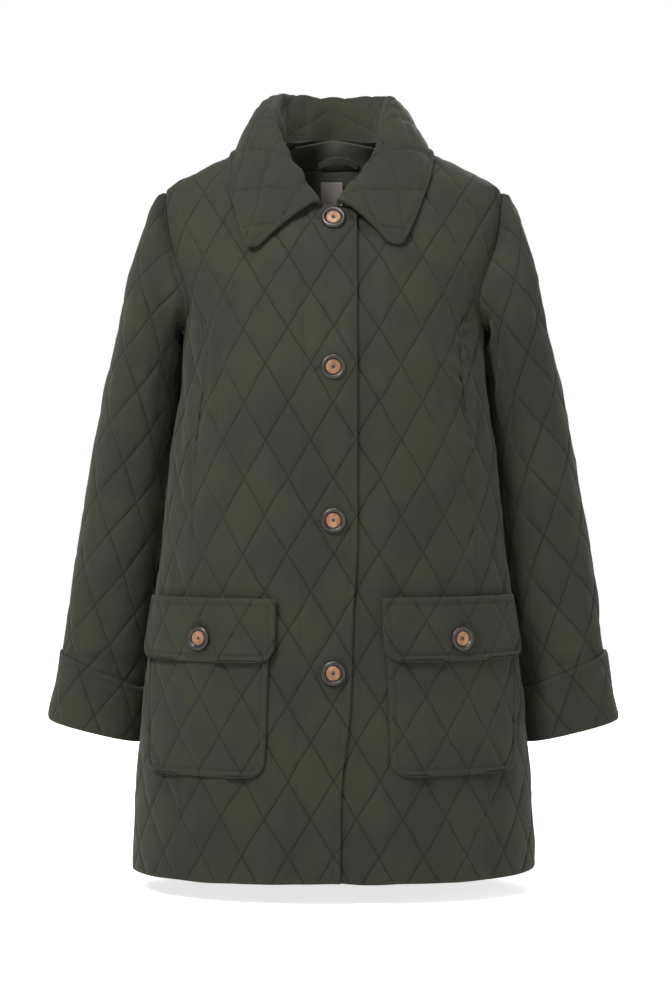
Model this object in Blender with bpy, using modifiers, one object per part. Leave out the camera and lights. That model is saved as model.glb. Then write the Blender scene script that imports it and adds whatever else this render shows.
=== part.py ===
"""Quilted jacket: hollow, filled-out form with turned-back cuffs and patch pockets.

Metres, +Z up, the front faces -Y and the wearer's right side is -X.
The origin is the centre of the neck opening, level with the high points of the shoulders.

The body is a stack of horizontal rings. A place on it is given by its turn and its drop:
turn 0 is the centre front, +1 and -1 are the side seams (above them the shoulder ridge),
+2 and -2 are the centre back, and drop is the distance below the origin.
"""
import math

import bmesh
import bpy
import numpy as np
from mathutils import Matrix, Vector
from mathutils.bvhtree import BVHTree

# ---------------------------------------------------------------- driving dimensions

LENGTH = 0.777            # high point of the shoulder to the hem
CLOTH = 0.0030            # quilted cloth wall
COLLAR_CLOTH = 0.0034     # collar wall
PLAIN_CLOTH = 0.0012      # facing, lining and hanger loop
SEAM_GAP = 0.0003         # between pieces that are sewn together
SEAM_TRIM = 0.0006        # that each panel stops short of its seam, as its inner face leans past it
LAY_GAP = 0.0011          # between a piece and the curved panel that it lies on
UNDERLAP_GAP = 0.0020     # between the two fronts where they lie on each other
LEAF_GAP = 0.0032         # between the collar's leaves and the body

STAND_START = 0.0018      # the collar's lower edge above the neckline
POCKET_GAP = 0.0013       # between a pocket and its panel

NECK_RISE = 0.010         # back neck above the origin
NECK_DROP = 0.083         # centre front neck below the origin
SHOULDER_DROP = 0.056
ARMPIT_DROP = 0.205

UNDERLAP_X = -0.026       # edge of the left front, hidden under the right one
COLLAR_SHIFT = -0.0045    # the collar's ends meet this far off the centre front
COLLAR_END = 0.968        # share of the half neckline that each collar half covers

BUTTON_RADIUS = 0.0127
BUTTON_THICKNESS = 0.0046
BUTTON_GAP = 0.0009
FRONT_BUTTON_FIRST = 0.097
FRONT_BUTTON_STEP = 0.155
FLAP_BUTTON_DROP = 0.528

RIGHT, LEFT = -1, 1

# Rows and columns of the panels. Neighbours share the points of their seams.
BODY_ROWS = 13
FRONT_COLUMNS = 7
BACK_NECK_COLUMNS = 3
TOP_REACH = 8             # higher values keep a panel's top edge from bending its lower rows
ARMHOLE_SHARES = (0.0, 0.05, 0.16, 0.28, 0.40, 0.52, 0.64, 0.76, 0.88, 1.0)
PRINCESS_STATION = 5      # the armhole point where the princess seam starts

# ---------------------------------------------------------------- short tables


def table(columns, rows):
    """Named columns of a table that is written a row at a time."""
    values = np.array(rows, dtype=float)
    return {name: values[:, i] for i, name in enumerate(columns.split())}


# Rings of the body. square is the exponent of the superellipse, 2 for an ellipse.
TORSO = table("drop half_width front back square", (
    (-0.010, 0.036, 0.012, 0.064, 2.00),
    (0.000, 0.050, 0.020, 0.066, 2.00),
    (0.020, 0.112, 0.045, 0.076, 2.00),
    (0.035, 0.143, 0.058, 0.085, 2.00),
    (0.049, 0.170, 0.068, 0.092, 2.00),
    (0.056, 0.178, 0.072, 0.096, 2.00),
    (0.083, 0.181, 0.086, 0.108, 2.05),
    (0.120, 0.178, 0.104, 0.118, 2.15),
    (0.160, 0.170, 0.117, 0.123, 2.25),
    (0.205, 0.1595, 0.127, 0.126, 2.30),
    (0.260, 0.1625, 0.134, 0.125, 2.30),
    (0.350, 0.175, 0.132, 0.119, 2.25),
    (0.430, 0.1825, 0.130, 0.121, 2.20),
    (0.500, 0.191, 0.129, 0.126, 2.15),
    (0.600, 0.203, 0.129, 0.131, 2.10),
    (0.700, 0.2115, 0.129, 0.134, 2.10),
    (LENGTH, 0.215, 0.129, 0.136, 2.10),
))

# Armhole: how far forward and back it runs at each drop.
ARMHOLE = table("drop forward backward", (
    (SHOULDER_DROP, 0.000, 0.000),
    (0.075, 0.016, 0.016),
    (0.095, 0.024, 0.026),
    (0.120, 0.034, 0.034),
    (0.146, 0.049, 0.038),
    (0.170, 0.057, 0.039),
    (0.188, 0.053, 0.037),
    (0.199, 0.036, 0.028),
    (ARMPIT_DROP, 0.000, 0.000),
))

# Front neckline from the shoulder to the centre front.
NECKLINE = table("x drop", (
    (0.0500, 0.000),
    (0.0515, 0.020),
    (0.0480, 0.040),
    (0.0380, 0.060),
    (0.0220, 0.0765),
    (0.0000, NECK_DROP),
))

# Princess seam, from below the armhole to the hem.
PRINCESS = table("drop x", (
    (0.190, 0.1415),
    (0.215, 0.1335),
    (0.245, 0.1315),
    (0.300, 0.139),
    (0.360, 0.146),
    (0.480, 0.149),
    (0.600, 0.153),
    (0.680, 0.159),
    (LENGTH, 0.163),
))

# Edge of the right front, which swings towards the wearer's right near the hem.
FRONT_EDGE = table("drop x", (
    (NECK_DROP, 0.0245),
    (0.430, 0.0245),
    (0.500, 0.0205),
    (0.590, 0.0180),
    (0.690, 0.0080),
    (LENGTH, 0.0070),
))

# Sections of a sleeve below the armhole: its outer and inner sides seen from the front,
# and its reach towards the front and the back.
SLEEVE = table("outer_x outer_drop inner_x inner_drop front back", (
    (0.1920, 0.071, 0.1605, 0.2085, 0.060, 0.046),
    (0.2045, 0.104, 0.1620, 0.2150, 0.064, 0.054),
    (0.2170, 0.146, 0.1635, 0.2240, 0.065, 0.063),
    (0.2285, 0.204, 0.1655, 0.2420, 0.060, 0.072),
    (0.2440, 0.262, 0.1690, 0.2820, 0.046, 0.084),
    (0.2580, 0.331, 0.1785, 0.3520, 0.035, 0.090),
    (0.2720, 0.410, 0.1860, 0.4320, 0.028, 0.088),
    (0.2825, 0.470, 0.1935, 0.4920, 0.022, 0.084),
    (0.2895, 0.530, 0.2015, 0.5520, 0.016, 0.079),
    (0.2955, 0.576, 0.2060, 0.5990, 0.014, 0.077),
    (0.3045, 0.6225, 0.2110, 0.6455, 0.014, 0.077),
))
SLEEVE_SQUARE = 2.4
CAP_SHARES = (0.75, 0.35)  # how far the first sections keep the armhole's shape
CUFF_HEIGHT = 0.069

# Collar, from the centre back (along 0) to its front end (along 1): the fold that it rolls
# over, and its outer edge, which differs a little between the two leaves.
COLLAR = table("along roll_x roll_y roll_z edge_y right_x right_z left_x left_z", (
    (0.00, 0.0000, 0.0730, 0.0575, 0.098, 0.0000, -0.010, 0.0000, -0.010),
    (0.20, 0.0340, 0.0660, 0.0572, 0.089, 0.0520, -0.012, 0.0520, -0.012),
    (0.38, 0.0560, 0.0400, 0.0540, 0.058, 0.0920, -0.014, 0.0920, -0.014),
    (0.50, 0.0640, 0.0120, 0.0460, 0.015, 0.1120, -0.017, 0.1110, -0.017),
    (0.60, 0.0635, -0.0140, 0.0320, -0.028, 0.1125, -0.035, 0.1115, -0.032),
    (0.70, 0.0565, -0.0400, 0.0120, -0.058, 0.1075, -0.058, 0.1030, -0.053),
    (0.80, 0.0495, -0.0570, -0.0120, -0.078, 0.0995, -0.084, 0.0945, -0.079),
    (0.88, 0.0380, -0.0700, -0.0340, -0.094, 0.0925, -0.106, 0.0855, -0.103),
    (0.95, 0.0240, -0.0820, -0.0560, -0.105, 0.0865, -0.1235, 0.0755, -0.1225),
    (1.00, 0.0085, -0.0930, -0.0780, -0.107, 0.0780, -0.1325, 0.0660, -0.1290),
))

# Patches on each side: how far out from the centre front they start and end.
PATCH = {
    "pocket_right": dict(side=RIGHT, top=0.505, bottom=0.669, inner=(0.0640, 0.0700),
                         outer=(0.226, 0.213), corner=0.017, lift=POCKET_GAP),
    "pocket_left": dict(side=LEFT, top=0.505, bottom=0.668, inner=(0.0530, 0.0590),
                        outer=(0.221, 0.206), corner=0.017, lift=POCKET_GAP),
    "flap_right": dict(side=RIGHT, top=0.4865, bottom=0.552, inner=(0.0575, 0.0590),
                       outer=(0.2175, 0.2330), corner=0.018,
                       lift=POCKET_GAP + CLOTH + LAY_GAP),
    "flap_left": dict(side=LEFT, top=0.4855, bottom=0.551, inner=(0.0485, 0.0510),
                      outer=(0.2130, 0.2280), corner=0.018,
                      lift=POCKET_GAP + CLOTH + LAY_GAP),
}

FACING_DEPTH = 0.030
FACING_HALF_TURN = 0.70   # how far the facing runs round from the centre back
FACING_INSET = 0.0046     # inside the back's inner face
LINING_END = 0.160
LINING_HALF_TURN = 0.56
LINING_INSET = 0.0050

LOOP_ENDS = (-0.017, 0.026)
LOOP_WIDTH = 0.006
LOOP_ARCH = 0.009
LABEL_SIZE = (0.024, 0.024)
LABEL_TOP = 0.036

# ---------------------------------------------------------------- curves through tables


def smooth(xs, ys, at):
    """A smooth curve through points with rising xs that never overshoots them."""
    at = np.clip(np.asarray(at, dtype=float), xs[0], xs[-1])
    step = np.diff(xs)
    slope = np.diff(ys) / step
    tangent = np.empty(len(xs))
    tangent[0] = slope[0]
    tangent[-1] = slope[-1]
    for i in range(1, len(xs) - 1):
        before, after = slope[i - 1], slope[i]
        same_way = before * after > 0
        tangent[i] = 2 * before * after / (before + after) if same_way else 0.0
    i = np.clip(np.searchsorted(xs, at, side="right") - 1, 0, len(xs) - 2)
    h = step[i]
    t = (at - xs[i]) / h
    return ((2 * t**3 - 3 * t**2 + 1) * ys[i] + (t**3 - 2 * t**2 + t) * h * tangent[i]
            + (3 * t**2 - 2 * t**3) * ys[i + 1] + (t**3 - t**2) * h * tangent[i + 1])


def through(points, at):
    """A smooth curve through points of any kind, at shares 0 to 1 of its length."""
    points = np.asarray(points, dtype=float)
    gaps = np.linalg.norm(np.diff(points, axis=0), axis=1)
    along = np.concatenate(([0.0], np.cumsum(gaps)))
    along /= along[-1]
    before = np.vstack((2 * points[0] - points[1], points[:-1]))
    after = np.vstack((points[1:], 2 * points[-1] - points[-2]))
    span_before = np.concatenate(([along[1]], np.diff(along)))
    span_after = np.concatenate((np.diff(along), [along[-1] - along[-2]]))
    tangent = (after - before) / (span_before + span_after)[:, None]
    at = np.clip(np.asarray(at, dtype=float), 0.0, 1.0)
    i = np.clip(np.searchsorted(along, at, side="right") - 1, 0, len(along) - 2)
    h = (along[i + 1] - along[i])[..., None]
    t = ((at - along[i]))[..., None] / h
    return ((2 * t**3 - 3 * t**2 + 1) * points[i] + (t**3 - 2 * t**2 + t) * h * tangent[i]
            + (3 * t**2 - 2 * t**3) * points[i + 1] + (t**3 - t**2) * h * tangent[i + 1])


def ease(t):
    t = np.clip(t, 0.0, 1.0)
    return t * t * (3 - 2 * t)


# ---------------------------------------------------------------- the body's surface

RING_STEPS = 48           # samples in each quarter of a ring


def ring(drop):
    """Half of the ring at a drop, from the centre front to the centre back: turns, x, y, length."""
    width, front, back, square = (
        float(smooth(TORSO["drop"], TORSO[name], drop))
        for name in ("half_width", "front", "back", "square"))
    angle = np.linspace(0.0, math.pi, 2 * RING_STEPS + 1)
    x = width * np.abs(np.sin(angle)) ** (2 / square)
    reach = np.abs(np.cos(angle)) ** (2 / square)
    y = np.where(angle <= math.pi / 2, -front * reach, back * reach)
    gaps = np.hypot(np.diff(x), np.diff(y))
    length = np.concatenate(([0.0], np.cumsum(gaps)))
    side = length[RING_STEPS]
    turn = np.where(length <= side, length / side, 1 + (length - side) / (length[-1] - side))
    return turn, x, y, length


def torso_point(turn, drop):
    turns, x, y, _ = ring(drop)
    across = np.interp(abs(turn), turns, x)
    return np.array((math.copysign(across, turn), np.interp(abs(turn), turns, y), -drop))


def torso_normal(turn, drop):
    """Outward direction of the body's surface."""
    away = 0.01
    along = torso_point(turn + away, drop) - torso_point(turn - away, drop)
    down = torso_point(turn, drop + 0.004) - torso_point(turn, drop - 0.004)
    normal = np.cross(down, along)
    normal /= np.linalg.norm(normal)
    return normal if normal @ (torso_point(turn, drop) * (1, 1, 0)) > 0 else -normal


def turn_at_x(x, drop):
    """Turn on the front of the ring at a distance from the centre front plane."""
    turns, xs, _, _ = ring(drop)
    quarter = slice(0, RING_STEPS + 1)
    return math.copysign(np.interp(abs(x), xs[quarter], turns[quarter]), x)


def turn_at_y(y, drop):
    """Turn from 0 to 2 where the ring lies this far back."""
    turns, _, ys, _ = ring(drop)
    return float(np.interp(y, ys, turns))


def turn_at_length(length, drop):
    """Turn at a distance round the ring from the centre front."""
    turns, _, _, lengths = ring(drop)
    return float(np.interp(length, lengths, turns))


# ---------------------------------------------------------------- seams, as (turn, drop)


def armhole(back):
    """Half of the armhole from the shoulder point to the armpit."""
    way = ARMHOLE["backward"] if back else -ARMHOLE["forward"]
    points = through(np.column_stack((way, ARMHOLE["drop"])), np.linspace(0, 1, 41))
    points[0] = (0.0, SHOULDER_DROP)
    points[-1] = (0.0, ARMPIT_DROP)
    return [(1.0 if i in (0, 40) else turn_at_y(y, d), d) for i, (y, d) in enumerate(points)]


def front_neckline():
    """From the high point of the shoulder to the centre front."""
    points = through(np.column_stack((NECKLINE["x"], NECKLINE["drop"])), np.linspace(0, 1, 41))
    points[0] = (NECKLINE["x"][0], 0.0)
    seam = [(turn_at_x(max(x, 0.0), d), d) for x, d in points]
    seam[0] = (1.0, 0.0)
    return seam


def back_neckline():
    """From the centre back to the high point of the shoulder."""
    steps = np.linspace(0, 1, 21)
    return [(2.0 - s, -NECK_RISE * math.cos(s * math.pi / 2) ** 2) for s in steps]


def princess_seam():
    """From the hem to the armhole."""
    top = by_length(armhole(back=False), ARMHOLE_SHARES)[PRINCESS_STATION]
    drops = np.concatenate(([top[1]], PRINCESS["drop"]))
    xs = np.concatenate(([torso_point(*top)[0]], PRINCESS["x"]))
    seam = [(turn_at_x(float(smooth(drops, xs, d)), d), d) for d in np.linspace(LENGTH, top[1], 61)]
    seam[-1] = tuple(top)
    return seam


def straight(start, end, steps=21):
    return [tuple(p) for p in np.linspace(start, end, steps)]


def lengths_along(seam):
    """Shares of a seam's real length at its own points."""
    real = np.array([torso_point(t, d) for t, d in seam])
    along = np.concatenate(([0.0], np.cumsum(np.linalg.norm(np.diff(real, axis=0), axis=1))))
    return along / along[-1]


def by_length(seam, shares):
    """Points of a seam at shares of its real length."""
    seam = np.array(seam, dtype=float)
    along = lengths_along(seam)
    return np.column_stack((np.interp(shares, along, seam[:, 0]), np.interp(shares, along, seam[:, 1])))


def panel_grid(bottom, top, inner, outer):
    """A grid of (turn, drop) between four seams, given as points that its rows and columns meet.

    Rows run straight between the inner and outer seams, and only the last few bend to the top.
    """
    u = np.linspace(0, 1, len(bottom))[None, :, None]
    v = lengths_along(outer)[:, None, None]
    rows = (1 - u) * inner[:, None] + u * outer[:, None]
    return rows + (1 - v) * (bottom - rows[0])[None] + v**TOP_REACH * (top - rows[-1])[None]


def drawn_in(points, gap):
    """The grid with its edges moved inwards, so that it stops short of its seams."""
    made = points.copy()
    for edge, inside in ((0, 1), (-1, -2)):
        way = points[inside] - points[edge]
        made[edge] += gap * way / np.linalg.norm(way, axis=1)[:, None]
        way = points[:, inside] - points[:, edge]
        made[:, edge] += gap * way / np.linalg.norm(way, axis=1)[:, None]
    return made


# ---------------------------------------------------------------- making objects


def material(name, colour, roughness):
    """A plain finish."""
    finish = bpy.data.materials.new(name)
    finish.use_nodes = True
    shader = finish.node_tree.nodes["Principled BSDF"]
    shader.inputs["Base Color"].default_value = (*colour, 1.0)
    shader.inputs["Roughness"].default_value = roughness
    shader.inputs["Metallic"].default_value = 0.0
    finish.diffuse_color = (*colour, 1.0)
    return finish


def add_object(name, mesh, finish):
    piece = bpy.data.objects.new(name, mesh)
    mesh.materials.append(finish)
    JACKET.objects.link(piece)
    mesh.shade_smooth()
    mesh.set_sharp_from_angle(angle=math.radians(40))
    return piece


def cloth(name, points, finish, thickness, tube=False, flip=False):
    """A cloth wall on a grid of points: an open surface with Solidify, thick to its inside."""
    rows, columns = points.shape[:2]
    shape = bmesh.new()
    corners = [[shape.verts.new(p) for p in row] for row in points]
    last = columns if tube else columns - 1
    for r in range(rows - 1):
        for c in range(last):
            n = (c + 1) % columns
            quad = (corners[r][c], corners[r][n], corners[r + 1][n], corners[r + 1][c])
            shape.faces.new(quad[::-1] if flip else quad)
    mesh = bpy.data.meshes.new(name)
    shape.to_mesh(mesh)
    shape.free()
    piece = add_object(name, mesh, finish)
    wall = piece.modifiers.new("wall", "SOLIDIFY")
    wall.thickness = thickness
    wall.offset = -1.0
    return piece


def torso_grid(grid, lift=None):
    """Real points of a (turn, drop) grid; lift gives the distance off the body's surface."""
    points = np.empty(grid.shape[:2] + (3,))
    for r in range(grid.shape[0]):
        for c in range(grid.shape[1]):
            turn, drop = grid[r, c]
            points[r, c] = torso_point(turn, drop)
            if lift is not None:
                points[r, c] += lift(turn, drop, points[r, c]) * torso_normal(turn, drop)
    return points


# ---------------------------------------------------------------- fronts, sides and back


def princess_points():
    return by_length(princess_seam(), np.linspace(0, 1, BODY_ROWS + 1))


def side_seam_points():
    return np.array(straight((1.0, LENGTH), (1.0, ARMPIT_DROP), BODY_ROWS + 1))


def armhole_points(back):
    """From the shoulder to the armpit, where the sleeve's lines meet the panels."""
    return by_length(armhole(back), ARMHOLE_SHARES)


def front_panel(edge_seam):
    """Grid of a front; edge_seam runs up the opening to the neckline."""
    outer = np.concatenate((princess_points(), armhole_points(back=False)[PRINCESS_STATION - 1::-1]))
    inner = by_length(edge_seam + front_neckline()[::-1], lengths_along(outer))
    shares = np.linspace(0, 1, FRONT_COLUMNS + 1)
    bottom = np.array(straight(inner[0], outer[0], FRONT_COLUMNS + 1))
    top = by_length(straight(inner[-1], outer[-1]), shares)
    return panel_grid(bottom, top, inner, outer)


def front_edge(line):
    """The opening edge of a front, up to the neckline; line gives x at a drop."""
    return [(turn_at_x(line(d), d), d) for d in np.linspace(LENGTH, NECK_DROP + 0.0035, 41)]


def front_right():
    """Its opening edge lies past the centre front, on top of the left front."""
    grid = front_panel(front_edge(lambda d: -float(smooth(FRONT_EDGE["drop"], FRONT_EDGE["x"], d))))
    grid[..., 0] *= RIGHT
    return cloth("front_right", drawn_in(torso_grid(grid), SEAM_TRIM), FABRIC, CLOTH, flip=True)


def front_left():
    """Its edge lies under the right front, sunk by one wall there."""
    grid = front_panel(front_edge(lambda d: UNDERLAP_X))

    def sink(turn, drop, point):
        return -(CLOTH + UNDERLAP_GAP) * ease((0.055 - point[0]) / 0.022)

    return cloth("front_left", drawn_in(torso_grid(grid, sink), SEAM_TRIM), FABRIC, CLOTH)


def side_panel(name, side):
    """Between the princess seam and the side seam, up to the lower front of the armhole."""
    inner, outer = princess_points(), side_seam_points()
    top = armhole_points(back=False)[PRINCESS_STATION:]
    bottom = np.array(straight(inner[0], outer[0], len(top)))
    grid = panel_grid(bottom, top, inner, outer)
    grid[..., 0] *= side
    return cloth(name, drawn_in(torso_grid(grid), SEAM_TRIM), FABRIC, CLOTH, flip=side == RIGHT)


def back_panel():
    """One piece across the back, its top edge over both shoulders and the neck."""
    outer = np.concatenate((side_seam_points(), armhole_points(back=True)[-2::-1]))
    ridge = by_length(straight((1.0, SHOULDER_DROP), (1.0, 0.0)), np.linspace(0, 1, FRONT_COLUMNS + 1))
    neck = by_length(back_neckline()[::-1], np.linspace(0, 1, BACK_NECK_COLUMNS + 1))
    half_top = np.concatenate((ridge, neck[1:]))
    bottom = np.array(straight((1.0, LENGTH), (2.0, LENGTH), len(half_top)))
    middle = by_length(straight((2.0, LENGTH), (2.0, -NECK_RISE), 61), lengths_along(outer))
    half = panel_grid(bottom, half_top, outer, middle)
    left_half = torso_grid(half)
    right_half = left_half[:, -2::-1] * np.array((-1, 1, 1))
    points = np.concatenate((left_half, right_half), axis=1)
    return cloth("back", drawn_in(points, SEAM_TRIM), FABRIC, CLOTH)


# ---------------------------------------------------------------- sleeves and cuffs

def armhole_loop():
    """The armhole of the left side, from the shoulder round the front."""
    front = [torso_point(t, d) for t, d in armhole_points(back=False)]
    back = [torso_point(t, d) for t, d in armhole_points(back=True)]
    return np.array(front + back[-2:0:-1])


def sleeve_section(i, grow=0.0):
    """One section of the left sleeve, as points round it from the outer side by the front."""
    s = {name: SLEEVE[name][i] for name in SLEEVE}
    outer = np.array((s["outer_x"], 0.0, -s["outer_drop"]))
    inner = np.array((s["inner_x"], 0.0, -s["inner_drop"]))
    centre, half = (outer + inner) / 2, (outer - inner) / 2
    half *= 1 + grow / np.linalg.norm(half)
    middle = (s["back"] - s["front"]) / 2
    depth = (s["back"] + s["front"]) / 2 + grow
    half_turn = math.pi * np.array(ARMHOLE_SHARES)
    loop = []
    for angle in np.concatenate((half_turn, 2 * math.pi - half_turn[-2:0:-1])):
        across = math.copysign(abs(math.cos(angle)) ** (2 / SLEEVE_SQUARE), math.cos(angle))
        forward = math.copysign(abs(math.sin(angle)) ** (2 / SLEEVE_SQUARE), math.sin(angle))
        loop.append(centre + half * across + np.array((0, middle - depth * forward, 0)))
    return np.array(loop)


def sleeve_surface(shares, lift=0.0):
    """Loops of the left sleeve at shares of its length, 0 at the armhole."""
    hole = armhole_loop()
    loops = [hole] + [sleeve_section(i, lift) for i in range(len(SLEEVE["front"]))]
    for i, share in enumerate(CAP_SHARES, start=1):
        moved = hole - hole.mean(axis=0) + loops[i].mean(axis=0)
        loops[i] = share * moved + (1 - share) * loops[i]
    lines = np.array(loops).transpose(1, 0, 2)
    return np.array([through(line, shares) for line in lines]).transpose(1, 0, 2)


def mirror_grid(points, side):
    return points * np.array((side, 1, 1))


def sleeve(name, side):
    """A set-in sleeve, open at the armhole and the cuff."""
    shares = np.concatenate(((0.0018, 0.02, 0.05, 0.09, 0.14), np.linspace(0.2, 0.9995, 11)))
    points = sleeve_surface(shares)
    return cloth(name, mirror_grid(points, side), FABRIC, CLOTH, tube=True,
                 flip=side == RIGHT)


def cuff(name, side):
    """A turned-back cuff round the end of the sleeve."""
    top = 1 - CUFF_HEIGHT / 0.545
    points = sleeve_surface(np.linspace(top, 1.0, 5), lift=LAY_GAP + CLOTH)
    return cloth(name, mirror_grid(points, side), FABRIC, CLOTH, tube=True, flip=side == RIGHT)


# ---------------------------------------------------------------- collar


def half_neckline(shares):
    """Real points of the neckline of the left side, from the centre back to the centre front."""
    seam = back_neckline() + front_neckline()[1:]
    return np.array([torso_point(t, d) for t, d in by_length(seam, shares)])


def collar_half(side, shares, stand_steps=4, leaf_steps=8):
    """Columns of the collar at shares of the half neckline, each from the seam over the fold."""
    seams = half_neckline(shares * COLLAR_END)
    edge = "left" if side == LEFT else "right"

    def column(name):
        return smooth(COLLAR["along"], COLLAR[name], shares)

    rolls = np.column_stack((column("roll_x"), column("roll_y"), column("roll_z")))
    edges = np.column_stack((column(edge + "_x"), column("edge_y"), column(edge + "_z")))
    made = []
    for share, seam, roll, tip in zip(shares, seams, rolls, edges):
        up = roll - seam
        up /= np.linalg.norm(up)
        out = tip - roll
        out[2] = 0.0
        out /= max(np.linalg.norm(out), 1e-6)
        start = seam + STAND_START * up
        stand = [start + (roll - start) * t - out * 0.003 * math.sin(math.pi * t) * (1 - share)
                 for t in np.linspace(0, 1, stand_steps + 1)]
        over = roll + 0.010 * out + 0.006 * up
        lower = tip + (roll - tip) * 0.45 + out * 0.010
        leaf = [(1 - t)**3 * roll + 3 * (1 - t)**2 * t * over + 3 * (1 - t) * t**2 * lower + t**3 * tip
                for t in np.linspace(0, 1, leaf_steps + 1)[1:]]
        made.append(stand + [clear_of_body(p, COLLAR_CLOTH + LEAF_GAP) for p in leaf])
    made = np.array(made)
    made[..., 0] *= side
    shift = COLLAR_SHIFT * shares[:, None] ** 2
    made[..., 0] += shift
    return made


def body_measure(point):
    """1 on the body's surface, more outside it and less inside."""
    drop = -point[2]
    width, front, back, square = (
        float(smooth(TORSO["drop"], TORSO[name], drop))
        for name in ("half_width", "front", "back", "square"))
    depth = front if point[1] < 0 else back
    return ((abs(point[0]) / width) ** square + (abs(point[1]) / depth) ** square) ** (1 / square)


def clear_of_body(point, clearance):
    """The point, moved straight off the body's surface if it lies closer than the clearance."""
    moved = np.array(point)
    step = 0.0005
    for _ in range(4):
        here = body_measure(moved)
        slope = np.array([(body_measure(moved + step * axis) - here) / step for axis in np.eye(3)])
        steepness = np.linalg.norm(slope)
        distance = (here - 1) / steepness
        if distance >= clearance:
            break
        moved = moved + (clearance - distance) * slope / steepness
    return moved


def collar():
    shares = 1 - (1 - np.linspace(0, 1, 12)) ** 1.15
    left = collar_half(LEFT, shares)
    right = collar_half(RIGHT, shares)
    points = np.concatenate((right[::-1], left[1:]), axis=0)
    return cloth("collar", points, FABRIC, COLLAR_CLOTH, flip=True)


# ---------------------------------------------------------------- inside the back neck


def inside_back(name, top_drop, bottom_drop, half_turn, rows, columns, depth, thickness, finish):
    """A plain piece on the inner side of the back, between two drops."""
    turns = np.linspace(-half_turn, half_turn, columns + 1)
    grid = np.empty((rows + 1, columns + 1, 3))
    for r, share in enumerate(np.linspace(0, 1, rows + 1)):
        for c, turn in enumerate(turns):
            top = top_drop(turn)
            drop = top + (bottom_drop(turn) - top) * share
            grid[r, c] = torso_point(2 - abs(turn), drop)
            grid[r, c] -= depth * torso_normal(2 - abs(turn), drop)
            grid[r, c, 0] = math.copysign(grid[r, c, 0], turn)
            if abs(turn) < 1e-9:
                grid[r, c, 0] = 0.0
    return cloth(name, grid, finish, thickness)


def neck_top(turn):
    return -NECK_RISE * math.cos(abs(turn) * math.pi / 2) ** 2 + 0.0012


def facing_bottom(turn):
    return neck_top(turn) + FACING_DEPTH * (1 - 0.25 * abs(turn))


def back_neck_facing():
    return inside_back("back_neck_facing", neck_top, facing_bottom, FACING_HALF_TURN, 3, 20,
                       CLOTH + FACING_INSET, PLAIN_CLOTH, LINING)


def back_lining():
    def top(turn):
        return facing_bottom(turn) + SEAM_GAP

    return inside_back("back_lining", top, lambda turn: LINING_END, LINING_HALF_TURN, 6, 18,
                       CLOTH + LINING_INSET, PLAIN_CLOTH, LINING)


# ---------------------------------------------------------------- pockets and flaps


def patch(name, side, top, bottom, inner, outer, corner, lift, columns=8, rows=7):
    """A patch on the front, square at its top and with rounded lower corners."""
    height = bottom - top
    shares = np.concatenate((np.linspace(0, 1 - corner / height, rows - 3),
                             1 - corner / height * (1 - np.sin(np.radians((30, 60, 90))))))
    points = np.empty((len(shares), columns + 1, 3))
    for r, share in enumerate(shares):
        into = max(0.0, (share * height - (height - corner)) / corner)
        round_off = corner * (1 - math.sqrt(max(0.0, 1 - into * into)))
        near = inner[0] + (inner[1] - inner[0]) * share + round_off
        far = outer[0] + (outer[1] - outer[0]) * share - round_off
        drop = top + share * height
        for c, length in enumerate(np.linspace(near, far, columns + 1)):
            turn = turn_at_length(length, drop)
            points[r, c] = torso_point(turn, drop) + (lift + CLOTH) * torso_normal(turn, drop)
    return cloth(name, mirror_grid(points, side), FABRIC, CLOTH, flip=side == LEFT)


# ---------------------------------------------------------------- trims


def seat(panel, turn, drop):
    """Where the line straight out of the body at (turn, drop) meets a panel, and its direction."""
    mesh = panel.data
    faces = BVHTree.FromPolygons([v.co for v in mesh.vertices], [f.vertices for f in mesh.polygons])
    normal = Vector(torso_normal(turn, drop))
    outside = Vector(torso_point(turn, drop)) + 0.03 * normal
    return faces.ray_cast(outside, -normal)[0], normal


def button(name, panel, turn, drop):
    """A turned button on a panel: a raised rim round a dished centre."""
    r, h = BUTTON_RADIUS, BUTTON_THICKNESS
    profile = ((0.0, 0.62 * h), (0.50 * r, 0.62 * h), (0.60 * r, 0.70 * h), (0.74 * r, h),
               (0.90 * r, 0.92 * h), (r, 0.55 * h), (0.94 * r, 0.18 * h), (0.70 * r, 0.0), (0.0, 0.0))
    mesh = bpy.data.meshes.new(name)
    mesh.from_pydata([(x, 0.0, z) for x, z in profile], [(i, i + 1) for i in range(len(profile) - 1)], [])
    piece = add_object(name, mesh, HORN)
    turned = piece.modifiers.new("turned", "SCREW")
    turned.steps = turned.render_steps = 16
    turned.use_merge_vertices = True
    turned.merge_threshold = 0.0001
    place, normal = seat(panel, turn, drop)
    upright = normal.to_track_quat("Z", "Y").to_matrix().to_4x4()
    piece.matrix_world = Matrix.Translation(place + BUTTON_GAP * normal) @ upright
    return piece


def hanger_loop():
    """A narrow strap that arches up between its two sewn ends."""
    start, end = LOOP_ENDS
    drop = FACING_DEPTH - NECK_RISE
    across = np.linspace(0, 1, 9)
    points = np.empty((2, len(across), 3))
    for c, t in enumerate(across):
        arch = math.sin(math.pi * t)
        x = start + (end - start) * t
        for r, half in enumerate((-0.5, 0.5)):
            low = drop - LOOP_ARCH * arch + half * LOOP_WIDTH
            turns, xs, ys, _ = ring(low)
            back = slice(RING_STEPS, None)
            y = np.interp(abs(x), xs[back][::-1], ys[back][::-1])
            inset = CLOTH + LINING_INSET + PLAIN_CLOTH + 2 * LAY_GAP + 0.004 * arch
            points[r, c] = (x, y - inset, -low)
    return cloth("hanger_loop", points, LINING, PLAIN_CLOTH)


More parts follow.
